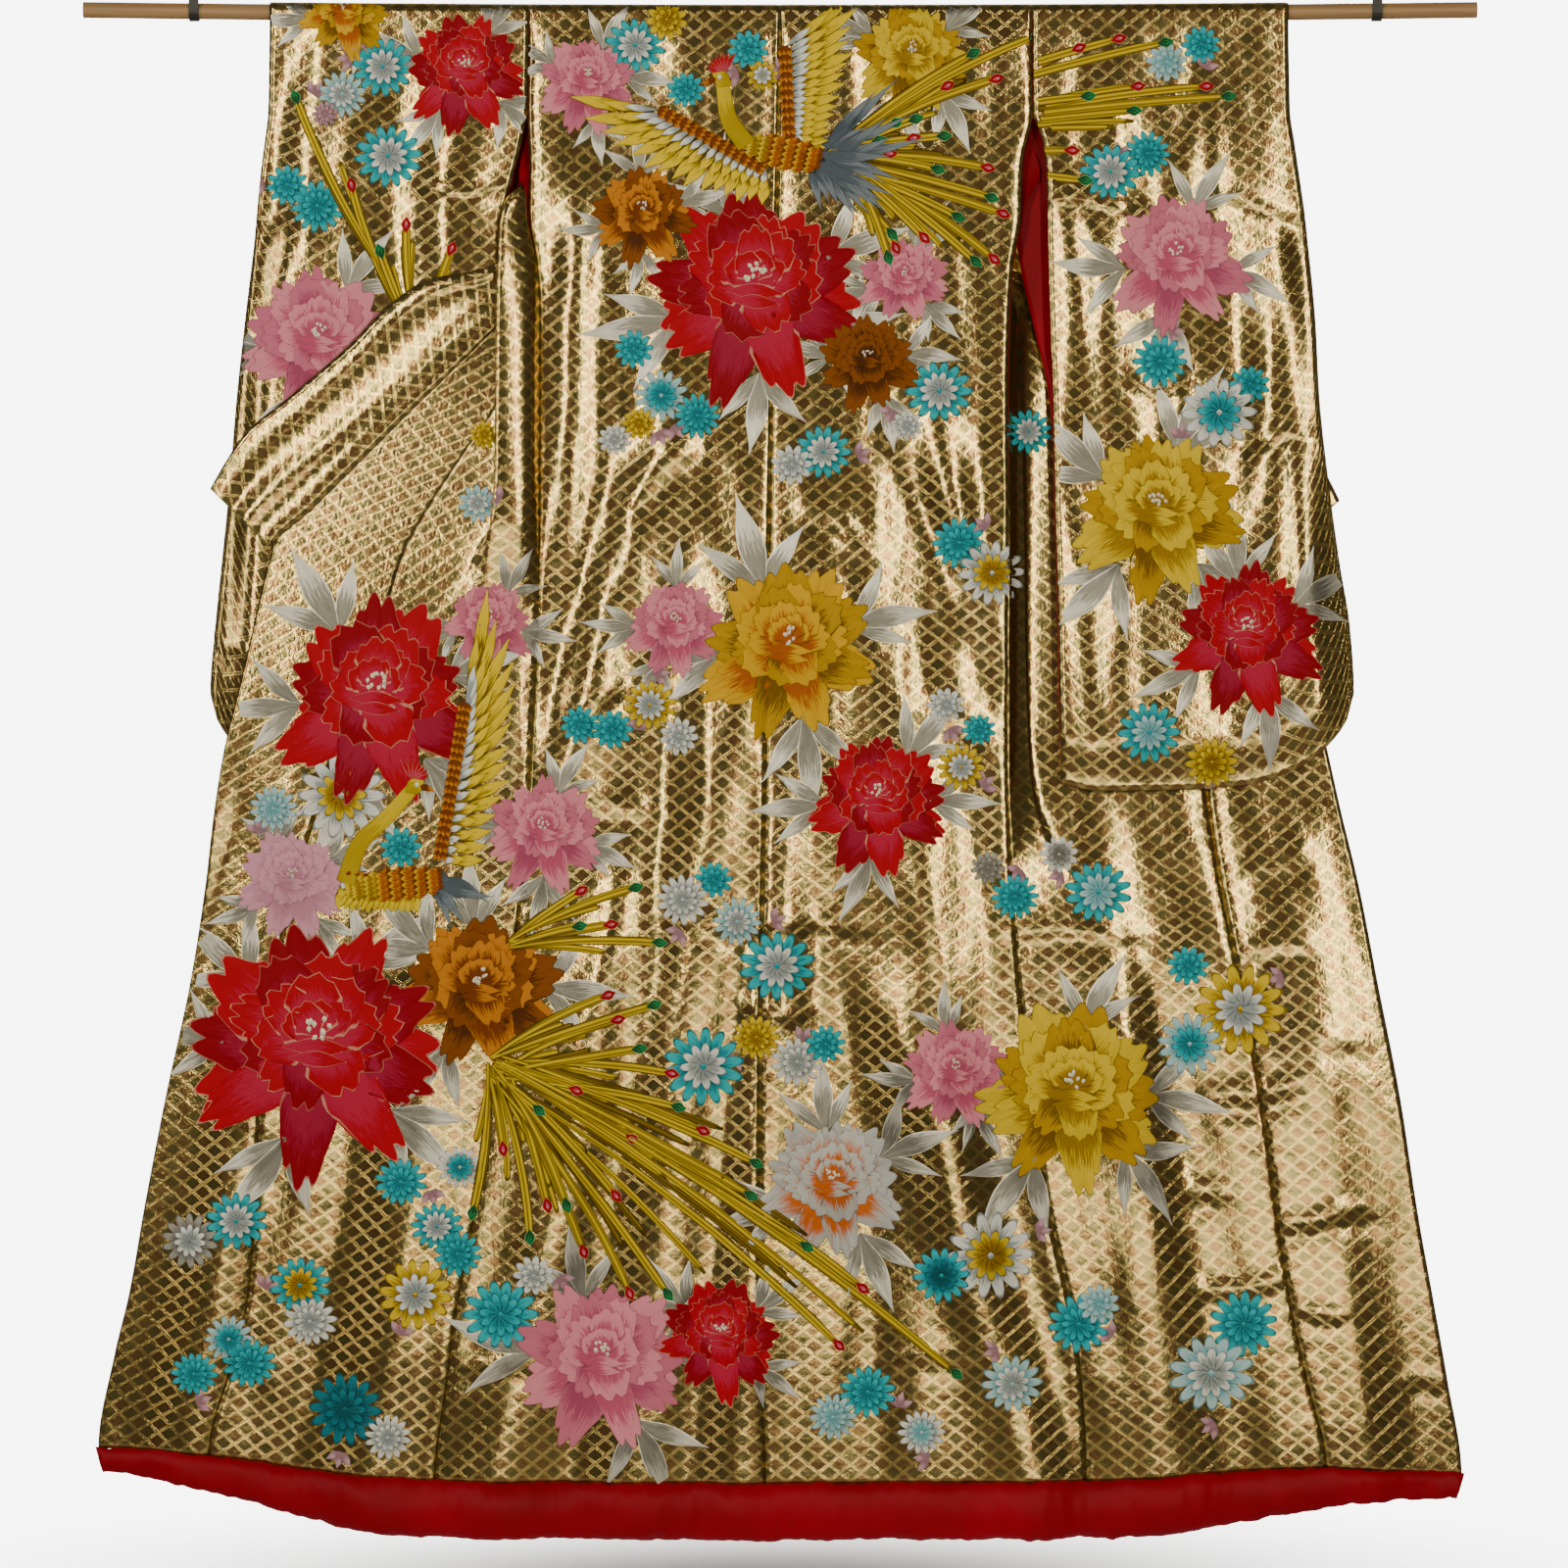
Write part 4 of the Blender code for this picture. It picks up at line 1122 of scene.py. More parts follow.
# %% Thread colours
THREADS = {
    # thread: (tip, root, edge, how metallic)
    "red": ("a40018", "aa1e40", "cc9482", 0.0),
    "deep red": ("840016", "94183a", "b4705e", 0.0),
    # deep red, rose and old gold are darker copies of red, pink and gold, and brown doubles as orange's:
    # painted shade on every second peony petal.
    "pink": ("d68498", "b04e6e", "8e4660", 0.0),
    "rose": ("be6a84", "9c4464", "7c3a56", 0.0),
    "pale": ("a4c8d0", "6aa6b4", "3c707c", 0.1),
    "pale pink": ("c890a8", "b07a94", "8c5870", 0.1),
    "gold": ("c49a14", "9a4e0c", "5c3a06", 0.2),
    "yellow": ("cab020", "8c6c0a", "54440a", 0.2),
    "old gold": ("a8840e", "6a4c08", "40300a", 0.2),
    "orange": ("b87418", "6c340a", "4a2606", 0.1),
    "brown": ("7a430c", "472406", "2e1804", 0.1),
    "silver": ("a8aaaa", "b0560f", "585858", 0.4),
    "leaf": ("bcbcb4", "74746c", "f0f0e8", 0.75),
    "lilac": ("b4909e", "8e6c7a", "6e505c", 0.1),
    "turq": ("26aaba", "0a8090", "064650", 0.0),
    "teal": ("0e7082", "08525f", "063c46", 0.0),
    "white": ("d6dada", "8c979b", "5c686e", 0.1),
    "grey": ("94948e", "6c6c68", "50504c", 0.2),
    "blue grey": ("707c88", "4a5662", "3c4650", 0.1),
    "green": ("0f7040", "084c2a", "b0d890", 0.0),
    "feather": ("d4ba1c", "6c5608", "3a2c06", 0.2),
    "neck": ("c6ae0c", "a48c0a", "6c5606", 0.1),
    "eye red": ("94000a", "94000a", "d8b8a0", 0.0),
    "olive": ("7e6606", "4c3c04", "2c2402", 0.2),
    "stamen": ("eceadc", "c8c4ac", "9a967c", 0.1),
}
print("threads", len(THREADS))

# %% [markdown]
# Threads can't be modelled one by one, so the material draws them along each patch's length. One material
# serves all the silks: every patch carries its colours with it, as attributes.

# %% The embroidery silk
# Sizes in millimetres, across and along a patch: the streaks where one silk is worked into the next, and
# the threads, which at 0.3 mm are too fine to show and are drawn twice as coarse. Then a plume's ribs.
STREAK_WIDE, STREAK_LONG = 1.6129, 22.222
THREAD_WIDE, THREAD_LONG = 0.66667, 11.111
RIB = 2.8


def embroidery_material():
    """Floss silk has little gloss of its own. Leaves and outlines are of metal thread, which shines."""
    made, tree, shader = new_material("embroidery silk")
    tip = add(tree, "Attribute", attribute_name="tip")
    root = add(tree, "Attribute", attribute_name="root")
    edge_colour = add(tree, "Attribute", attribute_name="rim")
    along = add(tree, "Attribute", output="Fac", attribute_name="along")
    edge = add(tree, "Attribute", output="Fac", attribute_name="edge")
    metal = add(tree, "Attribute", output="Fac", attribute_name="metal")
    ribbed = add(tree, "Attribute", output="Fac", attribute_name="ribbed")
    flat = add(tree, "UVMap", uv_map="thread")
    split = add(tree, "SeparateXYZ", {0: flat}).node

    streaks = (cells(STREAK_WIDE), cells(STREAK_LONG), 1.0)
    stretched = add(tree, "Mapping", {"Vector": flat, "Scale": streaks})
    streak = add(tree, "TexNoise", {"Vector": stretched, "Scale": 1.0, "Detail": 2.0})
    shift = add(tree, "Math", {0: streak, 1: -0.5}, operation="ADD")
    shift = add(tree, "Math", {0: shift, 1: 0.9, 2: along}, operation="MULTIPLY_ADD")
    worked_in = {"Value": shift, "From Min": 0.42, "From Max": 0.66}
    toward_tip = add(tree, "MapRange", worked_in, **SMOOTH)
    rib = add(tree, "Math", {0: split.outputs[0], 1: RIB * MM}, operation="PINGPONG")
    rib = add(tree, "Math", {0: rib, 1: RIB * MM}, operation="DIVIDE")
    blend = add(tree, "Mix", {0: ribbed, 2: toward_tip, 3: rib}, data_type="FLOAT")
    colour = add(tree, "Mix", {0: blend, 6: root, 7: tip}, **COLOURS)
    outline = {"Value": edge, "From Min": 0.68, "From Max": 0.86, "To Max": 0.80}
    on_edge = add(tree, "MapRange", outline, **SMOOTH)
    colour = add(tree, "Mix", {0: on_edge, 6: colour, 7: edge_colour}, **COLOURS)

    threads = (cells(THREAD_WIDE), cells(THREAD_LONG), 1.0)
    threads = add(tree, "Mapping", {"Vector": flat, "Scale": threads})
    thread = add(tree, "TexNoise", {"Vector": threads, "Scale": 1.0, "Detail": 2.0})
    height = add(tree, "Math", {0: rib, 1: ribbed}, operation="MULTIPLY")
    height = add(tree, "Math", {0: height, 1: 0.8, 2: thread}, operation="MULTIPLY_ADD")
    bump = add(tree, "Bump", {"Height": height, "Distance": 0.6 * MM, "Strength": 0.8})
    rough = add(tree, "MapRange", {"Value": metal, "To Min": 0.50, "To Max": 0.26})
    links = {"Base Color": colour, "Metallic": metal, "Roughness": rough, "Normal": bump}
    finish_with(tree, shader, links, Specular_IOR_Level=0.08)
    return made


EMBROIDERY = embroidery_material()
print(EMBROIDERY.name, "steps", len(EMBROIDERY.node_tree.nodes))

# %% [markdown]
# A canvas is the group of panels that a design lies on, seen from the side it is sewn on. Every point of a
# patch is dropped straight on to the first panel below it. The canvas also keeps a pile, a coarse map of
# how high the patches stand, so a new one lies over them.

# %% The canvas
# In millimetres, how far a patch stands over what it lies on, how a deep pile is pressed flat, and the
# pile's spacing. A ray that falls in a seam is tried again a little aside, in metres.
LIFT = 0.30
PILE_SOFT = 3.4
PILE_STEP = 3.5
BESIDE_A_SEAM = 0.0012


class Canvas:
    """Panels seen along +Y (facing -1) or along -Y (facing 1), with the patches sewn on them."""

    def __init__(self, names, facing=-1):
        self.names = names
        self.facing = facing
        points, faces, self.owner = [], [], []
        for number, name in enumerate(names):
            mesh = panels[name].data
            start = len(points)
            points += [vertex.co.copy() for vertex in mesh.vertices]
            faces += [[start + i for i in face.vertices] for face in mesh.polygons]
            self.owner += [number] * len(mesh.polygons)
        self.tree = BVHTree.FromPolygons(points, faces)
        self.patches = []
        self.pile = {}

    def land(self, x, z):
        """The place of the cloth's middle at x and z, in metres, and the number of its panel."""
        for aside in (0.0, BESIDE_A_SEAM, -BESIDE_A_SEAM):
            start = Vector((x + aside, self.facing, z))
            spot, _, face, _ = self.tree.ray_cast(start, Vector((0, -self.facing, 0)))
            if spot:
                return spot, self.owner[face]
        return None, None

    def top(self, x, z):
        """How high the patches already stand at a place, all in millimetres."""
        i, j = round(x / PILE_STEP), round(z / PILE_STEP)
        near = ((i, j), (i - 1, j), (i + 1, j), (i, j - 1), (i, j + 1))
        return max(self.pile.get(key, 0.0) for key in near)

    def raise_pile(self, corners, raised):
        """Marks how high one cell of a patch stands: its corners are (x, z, height), row by row."""
        first, second, third, fourth = corners
        deep = max(math.dist(first[:2], third[:2]), math.dist(second[:2], fourth[:2]))
        wide = max(math.dist(first[:2], second[:2]), math.dist(third[:2], fourth[:2]))
        downs = 1 + int(deep / PILE_STEP)
        acrosses = 1 + int(wide / PILE_STEP)
        for down in range(downs + 1):
            a = down / downs
            from_x, from_z, from_high = (p + (q - p) * a for p, q in zip(first, third))
            to_x, to_z, to_high = (p + (q - p) * a for p, q in zip(second, fourth))
            for over in range(acrosses + 1):
                b = over / acrosses
                high = from_high + (to_high - from_high) * b
                x = from_x + (to_x - from_x) * b
                z = from_z + (to_z - from_z) * b
                key = (round(x / PILE_STEP), round(z / PILE_STEP))
                if high > raised.get(key, 0.0):
                    raised[key] = high

    def press(self, grid, heights):
        """Lays a patch on the pile, and gives each of its points' own height over the cloth."""
        laid = []
        for line, rises in zip(grid, heights):
            tops = [self.top(x, z) for x, z in line]
            laid.append([top + (LIFT + rise) * math.exp(-top / PILE_SOFT) for top, rise in zip(tops, rises)])
        raised = {}
        for row in range(len(grid) - 1):
            for column in range(len(grid[0]) - 1):
                corners = [(row, column), (row, column + 1), (row + 1, column), (row + 1, column + 1)]
                self.raise_pile([(*grid[r][c], laid[r][c]) for r, c in corners], raised)
        for key, high in raised.items():
            self.pile[key] = max(self.pile.get(key, 0.0), high)
        return laid


canvases = {
    "body": Canvas(["back_left", "back_right", "front_left", "front_right", "okumi_left", "okumi_right"]),
    "sleeve_left": Canvas(["sleeve_left_back"]),
    "sleeve_right": Canvas(["sleeve_right_back"]),
    "sleeve_left_far": Canvas(["sleeve_left_front"], 1),
    "sleeve_right_far": Canvas(["sleeve_right_front"], 1),
    "fronts_far": Canvas(["front_left", "front_right"], 1),
}
print("canvases", len(canvases))

# %% [markdown]
# The patches are sewn in their order, and each cell of a patch goes to the panel it lands on. A cell that
# misses the cloth, or would bridge a step between two panels, is left out. No operator drapes one mesh on
# another cell by cell, so these faces are set one by one.

# %% Sewing the patches on
# The most that one cell of a patch may step down, in metres.
MOST_STEP = 0.012


def sew(canvas, grid, heights, thread, order, ribbed=0.0, rim=1.0):
    """Keeps one patch. grid[row][column] is a place in millimetres, and heights its rise in millimetres."""
    canvas.patches.append((grid, heights, thread, order, ribbed, rim))


def cell_uv(grid, row, column, middle_column, order):
    """A point's place along the threads, in metres, shifted so that no two patches are streaked alike."""
    middle = grid[row][middle_column]
    from_middle = math.dist(grid[row][column], middle) * math.copysign(1, column - middle_column)
    run = math.dist(middle, grid[0][middle_column])
    return from_middle * MM + 0.37 * order % 1, run * MM


def sew_patch(canvas, patch, shapes, tools):
    """Adds one patch's cells to the shapes of the panels that they land on."""
    grid, heights, thread, order, ribbed, bold = patch
    tip, root, rim, metal = THREADS[thread]
    heights = canvas.press(grid, heights)
    colours = {"tip": rgba(tip), "root": rgba(root), "rim": rgba(rim)}
    rows, columns = len(grid) - 1, len(grid[0]) - 1
    landed = [[canvas.land(x * MM, z * MM) for x, z in line] for line in grid]
    made = {}
    for row in range(rows):
        for column in range(columns):
            cell = [(row, column), (row + 1, column), (row + 1, column + 1), (row, column + 1)]
            spots = [landed[r][c] for r, c in cell]
            if any(spot is None for spot, _ in spots):
                continue
            depths = [spot.y for spot, _ in spots]
            if max(depths) - min(depths) > MOST_STEP:
                continue
            number = spots[0][1]
            shape = shapes[number]
            layers, measure = tools[number]
            corners = []
            for r, c in cell:
                if (number, r, c) not in made:
                    lift = CLOTH / 2 + heights[r][c] * MM
                    corner = shape.verts.new(landed[r][c][0] + Vector((0, canvas.facing * lift, 0)))
                    for name, colour in colours.items():
                        corner[layers[name]] = colour
                    corner[layers["along"]] = r / rows
                    corner[layers["edge"]] = bold * (c in (0, columns) or r == rows)
                    corner[layers["metal"]] = metal
                    corner[layers["ribbed"]] = ribbed
                    made[number, r, c] = corner
                corners.append(made[number, r, c])
            face = shape.faces.new(corners)
            for corner, (r, c) in zip(face.loops, cell):
                corner[measure].uv = cell_uv(grid, r, c, columns // 2, order)


embroideries = {}


def add_embroidery(canvas):
    """Makes one piece for each panel of the canvas, from the patches that land on it."""
    shapes = [bmesh.new() for _ in canvas.names]
    tools = []
    for shape in shapes:
        layers = {name: shape.verts.layers.float_color.new(name) for name in ("tip", "root", "rim")}
        layers |= {name: shape.verts.layers.float.new(name) for name in ("along", "edge", "metal", "ribbed")}
        tools.append((layers, shape.loops.layers.uv.new("thread")))
    for patch in sorted(canvas.patches, key=lambda patch: patch[3]):
        sew_patch(canvas, patch, shapes, tools)
    for name, shape in zip(canvas.names, shapes):
        if not shape.faces:
            shape.free()
            continue
        shape.normal_update()
        wrong = [face for face in shape.faces if face.normal.y * canvas.facing < 0]
        bmesh.ops.reverse_faces(shape, faces=wrong)
        label = f"embroidery_{name}" if canvas.facing < 0 else f"embroidery_{name}_outer"
        made = add_object(label, shape, EMBROIDERY)
        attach(made, "root")
        embroideries.setdefault(name, []).append(made)
        print(label, len(made.data.polygons))


# %% [markdown]
# Every motif comes from five shapes: a petal with a ragged tip, a pointed leaf or feather, a long ribbed
# plume, a padded band and a small round knot. All are drawn in rows from root to tip, as the threads run.

# %% Petals and leaves


def ways(angle):
    """Two directions: ahead, at this angle in degrees from +X towards +Z, and aside, a quarter turn on."""
    turn = math.radians(angle)
    ahead = (math.cos(turn), math.sin(turn))
    return ahead, (-ahead[1], ahead[0])


def beside(base, ahead, far, aside, out):
    """The place far ahead of a base and out aside from it."""
    return base[0] + ahead[0] * far + aside[0] * out, base[1] + ahead[1] * far + aside[1] * out


def petal(canvas, base, angle, length, width, thread, order, lobes=4, pad=0.9, columns=12, rows=7, rim=1.0):
    """A petal from its base, pointing along angle, with ragged lobes round its tip."""
    ahead, aside = ways(angle)
    grid, heights = [], []
    for row in range(rows + 1):
        part = 1 - (1 - row / rows) ** 1.4
        outer = easy(0.45, 1.0, part)
        line, rises = [], []
        for column in range(columns + 1):
            over = 2 * column / columns - 1
            notch = 1 - abs(math.cos(lobes * math.pi * (over + 1) / 2 + angle)) if lobes else 0
            reach = length * (0.50 + 0.50 * math.sqrt(max(0.0, 1 - abs(over) ** 2.1)))
            reach *= 1 - 0.15 * notch * outer
            half = width / 2 * (0.20 + 0.80 * easy(-0.10, 0.58, part))
            half *= 1 + (0.11 * math.sin(11 * part + angle) if lobes else 0)
            line.append(beside(base, ahead, part * reach, aside, over * half))
            on_edge = column in (0, columns) or row == rows
            crown = (1 - over * over) ** 0.5 * math.sin(math.pi * (0.12 + 0.80 * part))
            rises.append(0.0 if on_edge else pad * (0.35 + 0.65 * crown))
        grid.append(line)
        heights.append(rises)
    sew(canvas, grid, heights, thread, order, rim=rim)


def blade(
    canvas, base, angle, length, width, thread, order, bend=0, pad=0.7, vein=0, fullest=0.45, columns=6,
    rows=9,
):
    """A pointed leaf or feather that bends aside by bend times its length, with a vein pressed in."""
    ahead, aside = ways(angle)
    grid, heights = [], []
    for row in range(rows + 1):
        part = row / rows
        swell = easy(-0.12, fullest, part) * (1 - easy(fullest, 1.04, part) ** 1.2)
        sway = bend * length * part * part
        line, rises = [], []
        for column in range(columns + 1):
            over = 2 * column / columns - 1
            line.append(beside(base, ahead, part * length, aside, over * width / 2 * swell + sway))
            on_edge = column in (0, columns) or row == rows
            crown = (1 - over * over) ** 0.5
            dip = vein * math.exp(-((over / 0.22) ** 2))
            rises.append(0.0 if on_edge else pad * (0.4 + 0.6 * crown) - dip)
        grid.append(line)
        heights.append(rises)
    sew(canvas, grid, heights, thread, order)


def knot(canvas, middle, across, tall, angle, thread, order, pad=0.9):
    """A small padded oval round its middle."""
    ahead, _ = ways(angle)
    start = (middle[0] - ahead[0] * tall / 2, middle[1] - ahead[1] * tall / 2)
    blade(canvas, start, angle, tall, across, thread, order, pad=pad, fullest=0.5, columns=6, rows=6)


print("ahead and aside at 30 degrees", ways(30))

# %% [markdown]
# Plumes and necks turn on their way, so their rows follow a curve: a plume one bow from end to end, and a
# neck a smooth line through several places.

# %% Plumes and bands


def plume(canvas, start, end, bow, width, thread, order, rows=26, columns=4):
    """A long ribbed feather that bows aside by bow times its length, and widens on its way."""
    run = (end[0] - start[0], end[1] - start[1])
    middle = ((start[0] + end[0]) / 2 - run[1] * bow, (start[1] + end[1]) / 2 + run[0] * bow)
    grid, heights = [], []
    for row in range(rows + 1):
        part = row / rows
        rest = 1 - part
        ends = list(zip(start, middle, end))
        here = [rest * rest * a + 2 * rest * part * b + part * part * c for a, b, c in ends]
        way = [2 * rest * (b - a) + 2 * part * (c - b) for a, b, c in ends]
        size = math.hypot(*way)
        aside = (-way[1] / size, way[0] / size)
        half = width / 2 * (0.35 + 0.65 * easy(0, 0.7, part)) * (1 - 0.5 * easy(0.93, 1, part))
        line, rises = [], []
        for column in range(columns + 1):
            over = 2 * column / columns - 1
            line.append((here[0] + aside[0] * over * half, here[1] + aside[1] * over * half))
            rises.append(0.0 if column in (0, columns) else 0.8 * (1 - over * over) ** 0.5)
        grid.append(line)
        heights.append(rises)
    sew(canvas, grid, heights, thread, order, ribbed=1.0, rim=1.6)


def ribbon(canvas, places, wide, narrow, thread, order, rows=16, columns=6):
    """A padded band through these places, from wide at the first to narrow at the last."""
    spots = [Vector((*place, 0)) for place in places]
    spots = [2 * spots[0] - spots[1]] + spots + [2 * spots[-1] - spots[-2]]
    grid, heights = [], []
    for row in range(rows + 1):
        part = row / rows
        here = through(spots, part)
        way = (through(spots, min(1, part + 0.02)) - through(spots, max(0, part - 0.02))).normalized()
        half = (wide + (narrow - wide) * part) / 2
        overs = [2 * column / columns - 1 for column in range(columns + 1)]
        grid.append([(here.x - way.y * over * half, here.y + way.x * over * half) for over in overs])
        heights.append([0.0 if abs(over) == 1 else 1.4 * (1 - over * over) ** 0.5 for over in overs])
    sew(canvas, grid, heights, thread, order)


print("shapes", [shape.__name__ for shape in (petal, blade, knot, plume, ribbon)])

# %% [markdown]
# The leaves are silver thread and come first, so the flowers lie over them. Leaves of one size would look
# stamped, so each draws its sizes from a die that always falls the same way.

# %% Leaves
# The order of sewing: a higher number lies on top.
LEAVES, SMALL_FLOWERS, PEONY, TAIL, BIRD = 0, 1000, 3000, 6000, 8000


def leaf_spray(canvas, x, z, radius, dice, count):
    """Long silver leaves that spring in threes from under a flower."""
    turned = dice.uniform(0, 360)
    for number in range(count):
        angle = 360 * (number + dice.uniform(-0.3, 0.3)) / count + turned
        turn = math.radians(angle)
        start = (x + 0.74 * radius * math.cos(turn), z + 0.74 * radius * math.sin(turn))
        length = max(66, min(118, 1.05 * radius)) * dice.uniform(0.9, 1.15)
        for lean, share in ((-38, 0.76), (34, 0.82), (-2, 1.0)):
            width = length * share * dice.uniform(0.22, 0.27)
            bend = dice.uniform(-0.14, 0.14) + 0.10 * math.copysign(1, lean)
            way = angle + lean + dice.uniform(-6, 6)
            blade(canvas, start, way, length * share, width, "leaf", LEAVES + number, bend, vein=0.6, rows=10)


def sprig(canvas, x, z, size, dice):
    """Three small lilac leaves."""
    angle = dice.uniform(0, 360)
    order = SMALL_FLOWERS - 1
    for lean in (-50, 0, 50):
        blade(canvas, (x, z), angle + lean, size, 0.5 * size, "lilac", order, vein=0.3, columns=4, rows=6)


print("leaves start at", LEAVES, "and small flowers at", SMALL_FLOWERS)

# %% [markdown]
# A peony is built from the back: broad outer petals that hang longest below, tiers that lean up behind the
# heart, a cup of rolled petals in front, and a knot of stamens. One flat shape would be quicker, but each
# petal here throws its own small shadow on the next.

# %% The peony
# Every second large petal is drawn in a darker copy of its thread: painted shade that stands for the shadows
# between the petals.
SHADED_THREADS = {"red": "deep red", "pink": "rose", "yellow": "old gold", "gold": "old gold", "orange": "brown"}


def peony(canvas, x, z, radius, thread, dice, order):
    """Tiers of ragged petals round a heart, with two rolled lips and a knot of stamens."""
    turned = dice.uniform(-14, 14)
    heart = (x, z + 0.12 * radius)
    rings = (
        # first angle, last angle, count, length, width, lobes, columns
        (-18, 198, 7, 1.00, 0.56, 3, 16), (206, 334, 4, 1.10, 0.46, 3, 16), (-6, 186, 6, 0.72, 0.52, 4, 12),
        (210, 330, 4, 0.60, 0.46, 3, 9), (4, 176, 5, 0.50, 0.38, 3, 9), (30, 150, 4, 0.31, 0.27, 2, 6),
    )
    for first, last, count, length, width, lobes, columns in rings:
        for number in range(count):
            angle = turned + first + (last - first) * number / (count - 1) + dice.uniform(-6, 6)
            base = (x, z) if length > 0.9 else heart
            long = radius * length * dice.uniform(0.88, 1.08)
            wide = radius * width * dice.uniform(0.90, 1.12)
            from_middle = abs(number - (count - 1) / 2)
            # Every second large petal takes its thread's darker copy, as painted shade between the petals.
            shade = SHADED_THREADS[thread] if number % 2 and thread in SHADED_THREADS and length > 0.5 else thread
            petal(canvas, base, angle, long, wide, shade, order - from_middle / 8, lobes, 0.8, columns)
        order += 2
    rolled = {"pad": 1.5, "fullest": 0.5, "columns": 8}
    lip = (heart[0] - 0.27 * radius, heart[1] - 0.10 * radius)
    blade(canvas, lip, 0, 0.54 * radius, 0.15 * radius, thread, order, -0.05, **rolled)
    lip = (lip[0] + 0.04 * radius, lip[1] - 0.09 * radius)
    blade(canvas, lip, 0, 0.46 * radius, 0.13 * radius, thread, order + 1, -0.08, **rolled)
    for number in range(11):
        angle = dice.uniform(0, 2 * math.pi)
        away = 0.10 * radius * dice.uniform(0, 1) ** 0.5
        middle = (heart[0] + away * math.cos(angle), heart[1] + 0.06 * radius + away * math.sin(angle))
        knot(canvas, middle, 0.040 * radius, 0.055 * radius, dice.uniform(40, 140), "stamen", order + 2)


print("threads with a deeper one", sorted(SHADED_THREADS))

# %% [markdown]
# A chrysanthemum is seen flat: two rings of narrow petals, smooth at the tip and outlined boldly, which
# keeps them apart at this size.

# %% The chrysanthemum
# Each ring's fullness, and the weight of the petals' outline.
OUTER_FULL = 4.4
INNER_FULL = 4.3
DAISY_RIM = 1.9


def daisy(canvas, x, z, radius, outer, inner, dice, order):
    """Two rings of spoon-shaped petals."""
    count = 14 if radius > 30 else 11
    turned = dice.uniform(0, 30)
    squash = dice.uniform(0.86, 1.0)
    plain = (0, 0.8, 6, 5, DAISY_RIM)
    for number in range(count):
        angle = turned + 360 * number / count
        reach = radius * (1 - (1 - squash) * math.sin(math.radians(angle)) ** 2)
        petal(canvas, (x, z), angle, reach, OUTER_FULL * radius / count, outer, order + number / 20, *plain)
    inner_radius = 0.58 * radius
    for number in range(count - 3):
        angle = turned + 9 + 360 * number / (count - 3)
        wide = INNER_FULL * inner_radius / (count - 3)
        petal(canvas, (x, z), angle, inner_radius, wide, inner, order + 2 + number / 20, *plain)
    knot(canvas, (x, z), 0.16 * radius, 0.16 * radius, 90, outer, order + 4)


print("a petal of a 40 mm flower is", round(OUTER_FULL * 40 / 14, 1), "mm wide")

# %% [markdown]
# The two birds are plain long-tailed phoenixes of no one's pattern: a scaled body, a curved neck, a small
# crest, two fanned wings and a smoky ruff over the roots of the tail plumes.

# %% A wing
# The spacing of the scales, and of their rows along a wing's arm, in millimetres.
ARM_SCALE = 11
BODY_SCALE = 8
ARM_ROW = 5


def wing(canvas, wrist, shoulder, first, last, long, short, order, dice):
    """A spread wing. Its feathers spring along the arm from wrist to shoulder and fan from first to last."""
    layers = (
        # share of the length, width, count, thread
        (1.00, 17, 15, "feather"), (0.62, 13, 15, "feather"), (0.36, 9, 17, "white"),
    )
    feather_shape = {"pad": 1.0, "fullest": 0.62, "columns": 4, "rows": 10}
    for number, (share, width, count, thread) in enumerate(layers):
        for feather in range(count):
            part = feather / (count - 1)
            root = [a + (b - a) * part for a, b in zip(wrist, shoulder)]
            angle = first + (last - first) * part**0.8 + dice.uniform(-2, 2)
            reach = max(long + (short - long) * part**0.7, 30) * share * dice.uniform(0.94, 1.06)
            bend = 0.08 * math.copysign(1, last - first)
            turn_order = order + 2 * number - feather / 20
            blade(canvas, root, angle, reach, width, thread, turn_order, -bend, **feather_shape)
    arm = math.degrees(math.atan2(shoulder[1] - wrist[1], shoulder[0] - wrist[0]))
    count = round(math.dist(wrist, shoulder) / ARM_SCALE)
    for row in (-1, 0, 1):
        for place in range(count):
            part = (place + 0.5) / count
            aside = math.radians(arm + 90)
            middle = [a + (b - a) * part for a, b in zip(wrist, shoulder)]
            out = ARM_ROW * row
            middle = (middle[0] + out * math.cos(aside), middle[1] + out * math.sin(aside))
            knot(canvas, middle, 9, 15, arm + 20 * row, "orange", order + 6 + place % 2, 1.0)


print("scales to 80 mm", round(80 / ARM_SCALE))

# %% [markdown]
# A bird is sewn from its tail forwards: the ruff, the wings, the body's scales, the neck and the head.

# %% The bird


def ruff_of(canvas, tail, ruff, dice):
    """Short smoky feathers over the roots of the tail."""
    soft = {"pad": 1.0, "fullest": 0.35, "columns": 4, "rows": 12}
    for first, last, count, long in ruff:
        for number in range(count):
            angle = first + (last - first) * number / (count - 1) + dice.uniform(-3, 3)
            reach = long * dice.uniform(0.60, 1.12)
            start = (tail[0] + dice.uniform(-14, 14), tail[1] + dice.uniform(-12, 12))
            bend = dice.uniform(-0.16, 0.20)
            blade(canvas, start, angle, reach, 15, "blue grey", BIRD + number / 20, bend, **soft)


def scales_of(canvas, tail, breast, order):
    """Rows of round scales from the tail's root to the breast."""
    along = (breast[0] - tail[0], breast[1] - tail[1])
    size = math.hypot(*along)
    aside = (-along[1] / size, along[0] / size)
    way = math.degrees(math.atan2(along[1], along[0]))
    rows = round(size / BODY_SCALE)
    for row in range(rows + 1):
        part = row / rows
        thread = ("orange", "gold")[row % 2] if part < 0.7 else "yellow"
        for place in (-2, -1, 0, 1, 2):
            out = place * 8.5 * math.sin(math.pi * (0.22 + 0.66 * part)) + (4 if row % 2 else 0)
            knot(canvas, beside(tail, along, part, aside, out), 9, 15, way, thread, order + row % 2, 1.0)


